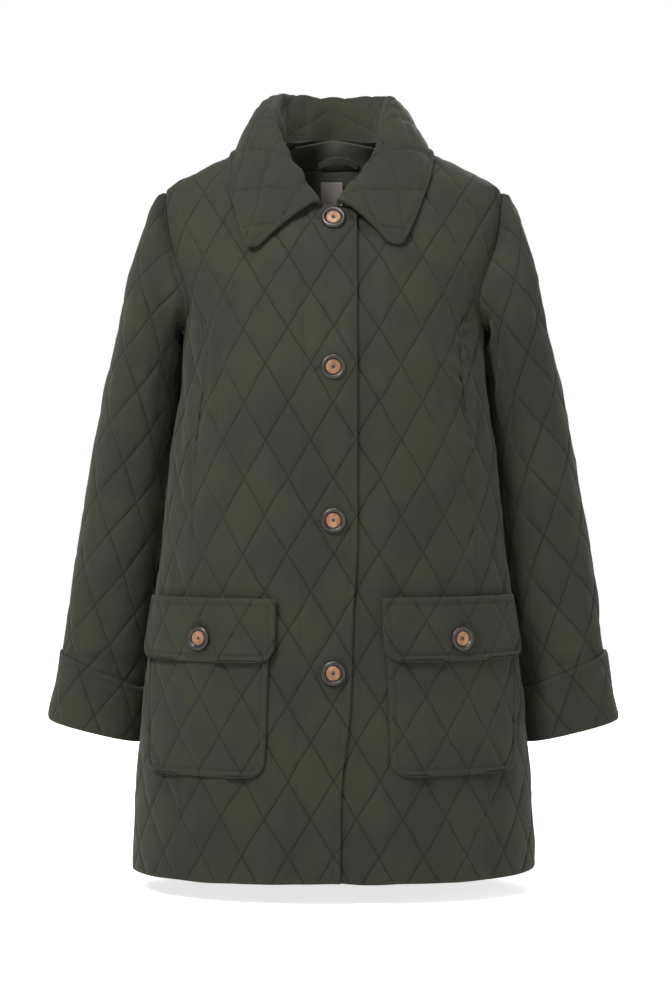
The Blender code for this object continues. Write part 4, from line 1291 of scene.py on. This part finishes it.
def inside_back(name, top, bottom, half_turn, depth, seed, finish):
    """A plain piece on the inner side of the back, between two drops."""
    turns = half_turn * (2 * spaced(0.13 * half_turn / 0.5) - 1)
    tops, bottoms = top(turns), bottom(turns)
    rows = spaced(float(np.max(bottoms - tops)))
    drop = tops + (bottoms - tops) * rows[:, None]
    turn = np.broadcast_to(2 + turns, drop.shape)
    surface = torso(turn, drop)
    points = surface + grid_normals(surface, False) * depth
    points[..., 0] *= -1
    points = points[:, ::-1]
    edges = from_edges(points)
    edge = np.minimum.reduce(edges)
    x, z = points[..., 0], points[..., 2]
    height = 0.0006 * noise(x / 0.030, z / 0.018, seed) + 0.0003 * noise(x / 0.009, z / 0.012, seed + 1)
    height = np.clip(height * ease(edge / 0.004), -0.0004, 0.0008) - rolled(edge, 0.0006, 0.0018)
    at = np.stack((x, z), axis=-1)
    piece = shell(name + "_cloth", points, height, at, at, PLAIN_CLOTH, finish)
    finish_piece(piece, name)


inside_back("back_neck_facing", neck_top, facing_bottom, FACING_HALF_TURN, CLOTH + FACING_INSET, 160,
            FACING)
inside_back("back_lining", lambda t: facing_bottom(t) + SEAM_GAP, lambda t: np.full(np.shape(t), LINING_END),
            LINING_HALF_TURN, CLOTH + LINING_INSET, 170, LINING)

# ---------------------------------------------------------------- loop, label, pockets and flaps


def strap(name, node, points, wall, finish, seed, depth=0.0004):
    """A small plain piece on a coarse grid, made fine."""
    rows = np.linspace(0, 1, 4 * INNER_EVERY + 1)
    columns = np.linspace(0, 1, 10 * INNER_EVERY + 1)
    across = np.array([through(row, columns) for row in points])
    fine = np.array([through(column, rows) for column in across.transpose(1, 0, 2)]).transpose(1, 0, 2)
    edges = from_edges(fine)
    edge = np.minimum.reduce(edges)
    x, z = fine[..., 0], fine[..., 2]
    height = 0.0002 * noise(x / 0.007, z / 0.006, seed) * ease(edge / 0.002) - rolled(edge, depth, 0.0012)
    at = np.stack((x, z), axis=-1)
    piece = shell(name, fine, height, at, at, wall, finish, True)
    finish_piece(piece, node)


def hanger_loop():
    """A narrow strap that arches up between its two sewn ends."""
    start, end = LOOP_ENDS
    drop = FACING_DEPTH - NECK_RISE
    across = np.linspace(0, 1, 13)
    points = np.empty((3, len(across), 3))
    for c, t in enumerate(across):
        arch = math.sin(math.pi * t)
        x = start + (end - start) * t
        for r, half in enumerate((0.5, 0.0, -0.5)):
            low = drop - LOOP_ARCH * arch + half * LOOP_WIDTH
            _, xs, ys, _ = ring(low)
            back = slice(RING_STEPS, None)
            y = np.interp(abs(x), xs[back][::-1], ys[back][::-1])
            inset = CLOTH + LINING_INSET + PLAIN_CLOTH + 2 * LAY_GAP + 0.004 * arch
            points[r, c] = (x, y - inset, -low)
    strap("hanger_loop_cloth", "hanger_loop", points, PLAIN_CLOTH, LOOP_CLOTH, 180)


def label():
    """A blank label on the lining."""
    width, height = LABEL_SIZE
    points = np.empty((3, 3, 3))
    for r, down in enumerate((1.0, 0.5, 0.0)):
        low = LABEL_TOP + down * height
        depth = float(smooth(TORSO["drop"], TORSO["back"], low))
        for c, share in enumerate((-0.5, 0.0, 0.5)):
            inset = CLOTH + LINING_INSET + PLAIN_CLOTH + 2 * LAY_GAP + 0.0014 * abs(share) * 2
            points[r, c] = (-0.002 + share * width, depth - inset, -low)
    strap("label_cloth", "label", points, 0.0008, LABEL, 190, 0.0002)


LOOP_CLOTH = plain_finish("loop_cloth", (0.0420, 0.0440, 0.0310), (0.0380, 0.0400, 0.0310), 0.7, 0.1)
hanger_loop()
label()


def patch(name, side, top, bottom, inner, outer, corner, lift, seed):
    """A patch on the front, square at its top and with rounded lower corners."""
    height = bottom - top
    straight_part = 1 - corner / height
    curve = straight_part + corner / height * np.sin(np.linspace(0, math.pi / 2, 15))
    start = np.array(EDGE_STEPS) / height
    count = round((height - corner) / STEP)
    shares = np.concatenate((start[:-1], np.linspace(start[-1], straight_part, count)[:-1], curve))
    shares = thinned_to(shares, INNER_EVERY)
    columns = spaced(outer[0] - inner[0])
    across = np.empty((len(shares), len(columns)))
    for r, share in enumerate(shares):
        into = max(0.0, (share * height - (height - corner)) / corner)
        round_off = corner * (1 - math.sqrt(max(0.0, 1 - into * into)))
        near = inner[0] + (inner[1] - inner[0]) * share + round_off
        far = outer[0] + (outer[1] - outer[0]) * share - round_off
        across[r] = near + (far - near) * columns
    drop = top + shares[:, None] * height + 0 * across
    turn = np.array([np.interp(row, *ring_lengths(d[0])) for row, d in zip(across, drop)])
    surface = torso(turn, drop)
    flip = side == LEFT
    base = surface + grid_normals(surface, False) * (-(lift + CLOTH))
    points = base * np.array((side, 1, 1))
    rim = outline_distance(across, drop, top, bottom, inner, outer, corner)
    falling, rising = quilting(across * side, drop + PATCH_PHASE, seed)
    height_at = padding(falling, rising, across, drop, seed, 0.0011) * ease(rim / 0.008)
    height_at -= rolled(rim, 0.0012, 0.0030)
    height_at -= 1.8 * stitched_down(rim, PATCH_IN)
    height_at += 0.0009 * np.exp(-(((rim - 0.5 * PATCH_IN) / 0.0028) ** 2))
    piece = shell(name + "_cloth", points, height_at, np.stack((falling, rising), axis=-1),
                  np.stack((across * side, -drop), axis=-1), CLOTH, FABRIC, flip)
    finish_piece(piece, name)


def ring_lengths(drop):
    """Distances from the centre front round a ring, and the turns there."""
    turns, _, _, lengths = ring(drop)
    return lengths, turns


def outline_distance(across, drop, top, bottom, inner, outer, corner):
    """Distance inside a patch's outline, whose lower corners are round."""
    share = (drop - top) / (bottom - top)
    near = across - (inner[0] + (inner[1] - inner[0]) * share)
    far = outer[0] + (outer[1] - outer[0]) * share - across
    low = bottom - drop
    side = np.minimum(near, far)
    in_corner = (side < corner) & (low < corner)
    curved = corner - np.hypot(corner - side, corner - low)
    plain = np.minimum(np.minimum(side, low), drop - top)
    return np.maximum(np.where(in_corner, np.minimum(curved, plain), plain), 0.0)


PATCH_PHASE = 0.010
PATCH_IN = 0.0066         # topstitching inside a pocket's or flap's edge

for patch_seed, (patch_name, sizes) in enumerate(PATCH.items()):
    patch(patch_name, seed=200 + 10 * patch_seed, **sizes)

# ---------------------------------------------------------------- stitches


def stitch_run(points, normals):
    """Places, directions and normals of evenly spaced stitches along a line."""
    points, normals = np.asarray(points, float), np.asarray(normals, float)
    along = travelled(points)
    at = np.arange(STITCH_PITCH, along[-1] - STITCH_PITCH / 2, STITCH_PITCH)

    def read(values, where):
        return np.stack([np.interp(where, along, values[:, k]) for k in range(3)], axis=1)

    way = read(points, at + STITCH_PITCH / 4) - read(points, at - STITCH_PITCH / 4)
    way /= np.linalg.norm(way, axis=1, keepdims=True)
    return read(points, at), way, read(normals, at)


def sewn_piece(name, places, polygons):
    """A joined mesh of threads, sewn on the cloth."""
    mesh = bpy.data.meshes.new(name)
    mesh.from_pydata([tuple(place) for place in places], [], polygons)
    piece = add_object(name, mesh, SEWING)
    mesh.shade_smooth()
    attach(piece, "root")


STITCH_PROUD = 0.35       # how high a stitch lies on the cloth, in its own widths


def stitches(name, runs):
    """All the stitches of one piece, as a joined mesh of short rounded threads."""
    shape = [(-0.5, 0.0, -0.35)]
    for where, size in ((-0.36, 0.85), (0.36, 0.85)):
        for angle in np.radians((0, 72, 144, 216, 288)):
            shape.append((where, size * 0.5 * math.cos(angle), size * 0.5 * math.sin(angle) + STITCH_PROUD))
    shape.append((0.5, 0.0, -0.35))
    shape = np.array(shape)
    rings = [[1 + k for k in range(5)], [6 + k for k in range(5)]]
    faces = [(0, rings[0][(k + 1) % 5], rings[0][k]) for k in range(5)]
    faces += [(rings[0][k], rings[0][(k + 1) % 5], rings[1][(k + 1) % 5], rings[1][k]) for k in range(5)]
    faces += [(11, rings[1][k], rings[1][(k + 1) % 5]) for k in range(5)]
    places, polygons = [], []
    for points, ways, normals in (stitch_run(*run) for run in runs):
        for place, way, normal in zip(points, ways, normals):
            across = np.cross(normal, way)
            across /= np.linalg.norm(across)
            up = np.cross(way, across)
            base = len(places) * len(shape)
            places.append(place + shape[:, :1] * STITCH_LENGTH * way
                          + shape[:, 1:2] * STITCH_WIDTH * across + shape[:, 2:] * STITCH_WIDTH * up)
            polygons += [tuple(base + i for i in face) for face in faces]
    sewn_piece(name, np.concatenate(places), polygons)


FACES = {}


def faces_of(name):
    """The outer face of a piece, for casting rays at."""
    if name not in FACES:
        outer, _ = SURFACE[name]
        rows, columns = outer.shape[:2]
        number = np.arange(rows * columns).reshape(rows, columns)
        FACES[name] = BVHTree.FromPolygons(outer.reshape(-1, 3).tolist(), quads_of(number).tolist())
    return FACES[name]


def on_surface(name, line, start):
    """A line carried onto a piece from the front: start gives a point outside the piece."""
    points, normals = [], []
    way = Vector((0, -1, 0))
    for at in line:
        place, normal, _, _ = faces_of(name).ray_cast(Vector(start(at)) + 0.05 * way, -way)
        if place is not None:
            points.append(place)
            normals.append(normal if normal.dot(way) > 0 else -normal)
    return np.array(points), np.array(normals)


def grid_line(name, rows, columns):
    """A line through a piece's outer face at fractional rows and columns."""
    outer, normals = SURFACE[name]
    r = np.clip(rows.astype(int), 0, outer.shape[0] - 2)
    c = np.clip(columns.astype(int), 0, outer.shape[1] - 2)
    down, across = (rows - r)[:, None], (columns - c)[:, None]

    def read(grid):
        return ((grid[r, c] * (1 - across) + grid[r, c + 1] * across) * (1 - down)
                + (grid[r + 1, c] * (1 - across) + grid[r + 1, c + 1] * across) * down)

    return read(outer), read(normals)


def along_edge(name, edge, distance, first=0.0, last=1.0):
    """A line inside one edge of a piece: 0 and 1 are its first and last row, 2 and 3 its columns."""
    outer, _ = SURFACE[name]
    away = from_edges(outer)[edge]
    rows, columns = outer.shape[:2]
    if edge < 2:
        away = away.T
        rows, columns = columns, rows
    at = np.arange(int(first * (rows - 1)), int(last * (rows - 1)) + 1)
    order = np.arange(columns) if edge in (0, 2) else np.arange(columns)[::-1]
    found = np.array([np.interp(distance, away[k][order], order) for k in at])
    return grid_line(name, found, at.astype(float)) if edge < 2 else grid_line(name, at.astype(float), found)


def drops_between(top, bottom):
    return np.linspace(top, bottom, max(2, int((bottom - top) / 0.004)))


edge_line = along_edge("front_right_cloth", 2, EDGE_IN, 0.0, 0.78)
placket = on_surface("front_right_cloth", drops_between(0.092, LENGTH - 0.006),
                     lambda d: (-float(smooth(PLACKET["drop"], PLACKET["x"], d)), -0.13, -d))
stitches("front_right_topstitching",
         (edge_line, placket, along_edge("front_right_cloth", 3, PRINCESS_IN, 0.0, 0.66)))
stitches("front_left_topstitching", (along_edge("front_left_cloth", 3, PRINCESS_IN, 0.0, 0.66),))
for side_word in ("right", "left"):
    stitches(f"cuff_{side_word}_topstitching", (along_edge(f"cuff_{side_word}_cloth", 0, TOPSTITCH_IN),))


def crossing(distance, away):
    """Where along a row of distances, rising or falling, one of them is reached."""
    way = 1 if away[-1] > away[0] else -1
    return np.interp(way * distance, way * away, np.arange(len(away)))


def collar_stitching():
    """One run round the collar's edge, from the fold at one end to the fold at the other."""
    outer, _ = SURFACE["collar_cloth_piece"]
    edges = from_edges(outer)
    turn_row, turn_back = (crossing(COLLAR_IN, edges[k][:, -8]) for k in (0, 1))
    turn_column = [crossing(COLLAR_IN, row) for row in edges[3]]
    columns = np.arange(COLLAR_STAND_STEPS + 3, int(turn_column[int(turn_row)]))
    start_rows, end_rows = ([crossing(COLLAR_IN, edges[k][:, c]) for c in columns] for k in (0, 1))
    rows = np.arange(math.ceil(turn_row), int(turn_back) + 1)
    across = [turn_column[int(r)] for r in rows]
    row_line = np.concatenate((start_rows, rows, end_rows[::-1]))
    column_line = np.concatenate((columns, across, columns[::-1]))
    return grid_line("collar_cloth_piece", row_line.astype(float), column_line.astype(float))


stitches("collar_topstitching", (collar_stitching(),))


def patch_outline(name, inset, top_too):
    """A run inside a patch's outline, as (length, drop) points."""
    sizes = PATCH[name]
    top, bottom, radius = sizes["top"], sizes["bottom"], sizes["corner"] - inset

    def sides(drop):
        share = (drop - top) / (bottom - top)
        near = sizes["inner"][0] + (sizes["inner"][1] - sizes["inner"][0]) * share + inset
        far = sizes["outer"][0] + (sizes["outer"][1] - sizes["outer"][0]) * share - inset
        return near, far

    low = bottom - inset
    down = drops_between(top + inset, low - radius)
    line = [(sides(d)[0], d) for d in down]
    arc = np.linspace(0, math.pi / 2, 8)[1:]
    line += [(sides(low)[0] + radius * (1 - math.cos(a)), low - radius + radius * math.sin(a)) for a in arc]
    line += [(sides(low)[1] - radius * (1 - math.sin(a)), low - radius + radius * math.cos(a))
             for a in np.linspace(0, math.pi / 2, 8)]
    line += [(sides(d)[1], d) for d in down[::-1]]
    if top_too:
        near, far = sides(top + inset)
        line += [(x, top + inset) for x in np.linspace(far, near, 30)[1:]]
    points = []
    for (a, b), (c, d) in zip(line[:-1], line[1:]):
        steps = max(1, int(math.hypot(c - a, d - b) / 0.004))
        points += [(a + (c - a) * k / steps, b + (d - b) * k / steps) for k in range(steps)]
    return points + [line[-1]]


def patch_run(name, inset, top_too):
    """The run on the patch itself, as places and normals."""
    side = PATCH[name]["side"]
    faces = faces_of(name + "_cloth")
    places, normals = [], []
    for length, drop in patch_outline(name, inset, top_too):
        turn = float(np.interp(length, *ring_lengths(drop)))
        here = torso(turn, drop)
        around = torso(turn + 0.01, drop) - torso(turn - 0.01, drop)
        down = torso(turn, drop + 0.004) - torso(turn, drop - 0.004)
        normal = np.cross(down, around)
        normal *= np.sign(normal @ (here * (1, 1, 0))) / np.linalg.norm(normal)
        here, normal = here * (side, 1, 1), normal * (side, 1, 1)
        hit = faces.ray_cast(Vector(here + 0.03 * normal), -Vector(normal))[0]
        if hit is not None:
            places.append(hit)
            normals.append(normal)
    return np.array(places), np.array(normals)


for patch_name in PATCH:
    run = patch_run(patch_name, PATCH_IN, patch_name.startswith("flap"))
    stitches(patch_name + "_topstitching", (run,))

# ---------------------------------------------------------------- buttons and buttonholes


def turned(name, profile, steps, finish):
    """A solid turned about its own Z from (radius, height) points."""
    rings = []
    places = []
    for radius, height in profile:
        if radius == 0:
            rings.append([len(places)] * steps)
            places.append((0.0, 0.0, height))
        else:
            rings.append(list(range(len(places), len(places) + steps)))
            angles = [2 * math.pi * k / steps for k in range(steps)]
            places += [(radius * math.cos(a), radius * math.sin(a), height) for a in angles]
    faces = []
    for low, high in zip(rings[:-1], rings[1:]):
        for k in range(steps):
            n = (k + 1) % steps
            face = list(dict.fromkeys((low[k], low[n], high[n], high[k])))
            faces.append(face)
    mesh = bpy.data.meshes.new(name)
    mesh.from_pydata(places, [], faces)
    piece = add_object(name, mesh, finish)
    mesh.shade_smooth()
    mesh.set_sharp_from_angle(angle=math.radians(55))
    return piece


def arc_profile(points, steps=5):
    """A turned profile with its corners rounded by a smooth curve through its points."""
    return [tuple(p) for p in through(points, np.linspace(0, 1, (len(points) - 1) * steps + 1))]


def middle_of(node):
    low, high = (Vector(corner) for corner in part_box(node))
    return (low + high) / 2


def button(node, seed):
    """A horn button: a dark raised rim round a dished tan centre with one sewing hole."""
    r, h = BUTTON_RADIUS, BUTTON_THICKNESS
    centre = middle_of(node)
    normal = button_normal(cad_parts[node].data, centre)
    rim = ((0.0, 0.06 * h), (0.70 * r, 0.0), (0.93 * r, 0.14 * h), (r, 0.50 * h), (0.965 * r, 0.82 * h),
           (0.86 * r, h), (0.74 * r, 0.96 * h), (0.655 * r, 0.74 * h), (0.60 * r, 0.52 * h), (0.0, 0.50 * h))
    rim_points = [rim[0]] + arc_profile(rim[1:-1]) + [rim[-1]]
    disc = ((0.0, 0.50 * h), (0.52 * r, 0.50 * h), (0.585 * r, 0.58 * h), (0.56 * r, 0.70 * h),
            (0.46 * r, 0.745 * h), (0.24 * r, 0.70 * h), (0.17 * r, 0.66 * h), (0.125 * r, 0.52 * h),
            (0.0, 0.505 * h))
    disc_points = [disc[0]] + arc_profile(disc[1:-1], 4) + [disc[-1]]
    upright = normal.to_track_quat("Z", "Y").to_matrix().to_4x4()
    spin = Matrix.Rotation(0.7 * seed, 4, "Z")
    place = Matrix.Translation(centre - normal * h / 2) @ upright @ spin
    made = [turned(node + "_rim", rim_points, 48, HORN), turned(node + "_centre", disc_points, 40, TAN_HORN)]
    made.append(turned(node + "_shank", [(0.0, 0.56 * h), (0.085 * r, 0.60 * h), (0.11 * r, 0.66 * h),
                                         (0.07 * r, 0.72 * h), (0.0, 0.74 * h)], 14, SEWING))
    for piece in made:
        piece.data.transform(place)
        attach(piece, "root")
    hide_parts(node)


def button_normal(mesh, centre):
    """The direction a button faces, from the plane of its widest ring."""
    places = np.array([v.co for v in mesh.vertices]) - np.array(centre)
    spread = np.linalg.svd(places - places.mean(axis=0))[2]
    normal = Vector(spread[2])
    return normal if normal.y < 0 else -normal


for number, node in enumerate(("button_1", "button_2", "button_3", "button_4",
                               "flap_button_right", "flap_button_left")):
    button(node, number)


HOLE_WIDTH = 0.0036
HOLE_PITCH = 0.00075
HOLE_OUT = 0.0195         # a buttonhole's ends, from its button's centre
HOLE_PAST = 0.0095
THREAD_RADIUS = 0.00038
THREAD_RISE = 0.00045     # of a close stitch at its middle


def buttonhole(name, cloth, start, end):
    """A worked buttonhole: two rows of close stitches round a slit, between two (x, drop) points."""
    start, end = np.array(start), np.array(end)
    length = np.linalg.norm(end - start)
    side = np.array((start[1] - end[1], end[0] - start[0])) / length
    threads = []
    for offset in (-HOLE_WIDTH / 4, HOLE_WIDTH / 4):
        for share in np.arange(0, 1, HOLE_PITCH / length):
            middle = start + (end - start) * share + side * offset
            line = [middle + side * HOLE_WIDTH / 4 * t for t in (-1.0, 0.0, 1.0)]
            placed = on_surface(cloth, line, lambda at: (at[0], CAD_BOX[0][1], -at[1]))
            if len(placed[0]) == 3:
                threads.append(placed)
    satin(name, threads)


def satin(name, threads):
    """Close short threads, each from its first to its last point."""
    places, polygons = [], []
    for points, normals in threads:
        way = points[-1] - points[0]
        across = np.cross(normals[1], way / np.linalg.norm(way))
        across /= np.linalg.norm(across)
        base = len(places)
        for t, rise in ((0.0, 0.0), (0.25, THREAD_RISE), (0.75, THREAD_RISE), (1.0, 0.0)):
            centre = points[0] + way * t + normals[1] * rise
            for a in np.radians((0, 90, 180, 270)):
                places.append(centre + THREAD_RADIUS * (across * math.cos(a) + normals[1] * math.sin(a)))
        for k in range(base, base + 12, 4):
            polygons += [(k + j, k + (j + 1) % 4, k + 4 + (j + 1) % 4, k + 4 + j) for j in range(4)]
        polygons.append(tuple(base + j for j in (3, 2, 1, 0)))
        polygons.append(tuple(base + 12 + j for j in (0, 1, 2, 3)))
    sewn_piece(name, places, polygons)


for number in (1, 2, 3, 4):
    at = middle_of(f"button_{number}")
    buttonhole(f"buttonhole_{number}", "front_right_cloth",
               (at.x - HOLE_OUT, -at.z), (at.x + HOLE_PAST, -at.z))
for side_word in ("right", "left"):
    at = middle_of(f"flap_button_{side_word}")
    buttonhole(f"flap_buttonhole_{side_word}", f"flap_{side_word}_cloth",
               (at.x, -at.z - HOLE_OUT), (at.x, -at.z + HOLE_PAST))

# ---------------------------------------------------------------- floor, light and camera

FLOOR_DROP = 0.800
FLOOR_HALF = 14.0
FLOOR_GLOW = 0.75         # keeps the floor white beyond the shadow
ROOM_LIGHT = 0.42         # of the white room on the jacket, 1 is as bright as it looks
CAMERA_DISTANCE = 2.400
CAMERA_DROP = 0.3906
CAMERA_X = 0.0027
LENS = 80.1
SENSOR = 36.0


def floor():
    signs = ((-1, -1), (1, -1), (1, 1), (-1, 1))
    corners = [(x * FLOOR_HALF, y * FLOOR_HALF, -FLOOR_DROP) for x, y in signs]
    mesh = bpy.data.meshes.new("floor")
    mesh.from_pydata(corners, [], [(0, 1, 2, 3)])
    finish = Tree("white_floor")
    finish.shader.inputs["Base Color"].default_value = (0.60, 0.60, 0.60, 1.0)
    finish.shader.inputs["Emission Color"].default_value = (1.0, 1.0, 1.0, 1.0)
    finish.shader.inputs["Emission Strength"].default_value = FLOOR_GLOW
    finish.surface(0.9, specular=0.0)
    add_object("floor", mesh, finish.material)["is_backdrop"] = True


def area_light(name, place, target, size, watts):
    light = bpy.data.lights.new(name, "AREA")
    light.shape = "DISK"
    light.size = size
    light.energy = watts
    lamp = bpy.data.objects.new(name, light)
    lamp.location = place
    lamp.rotation_euler = (Vector(target) - Vector(place)).to_track_quat("-Z", "Y").to_euler()
    bpy.context.scene.collection.objects.link(lamp)


floor()
# Soft lights, as (name, place, size, watts).
for light_name, light_place, light_size, light_watts in (
        ("key", (-1.2, -2.1, 1.5), 0.9, 120.0),
        ("fill", (2.4, -2.2, 0.4), 1.4, 22.0),
        ("top", (0.1, -0.9, 2.0), 0.8, 30.0),
        ("behind", (0.6, 2.6, 1.0), 1.6, 70.0)):
    area_light(light_name, light_place, Vector((0.0, 0.0, -LENGTH / 2)), light_size, light_watts)

# A white room, dimmer as a light than it looks.
world = bpy.data.worlds.new("studio")
bpy.context.scene.world = world
world.use_nodes = True
background = world.node_tree.nodes["Background"]
background.inputs["Color"].default_value = (1.0, 1.0, 1.0, 1.0)
seen = world.node_tree.nodes.new("ShaderNodeLightPath")
strength = world.node_tree.nodes.new("ShaderNodeMapRange")
strength.inputs["To Min"].default_value = ROOM_LIGHT
strength.inputs["To Max"].default_value = 1.0
world.node_tree.links.new(seen.outputs["Is Camera Ray"], strength.inputs["Value"])
world.node_tree.links.new(strength.outputs[0], background.inputs["Strength"])
bpy.context.scene.view_settings.view_transform = "Standard"

camera_data = bpy.data.cameras.new("camera")
camera_data.sensor_width = SENSOR
camera_data.lens = LENS
camera = bpy.data.objects.new("camera", camera_data)
camera.location = (CAMERA_X, -CAMERA_DISTANCE, -CAMERA_DROP)
camera.rotation_euler = (math.pi / 2, 0.0, 0.0)
bpy.context.scene.collection.objects.link(camera)
bpy.context.scene.camera = camera

sizes = {"cad": [list(corner) for corner in CAD_BOX], "visual": [list(corner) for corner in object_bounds()]}
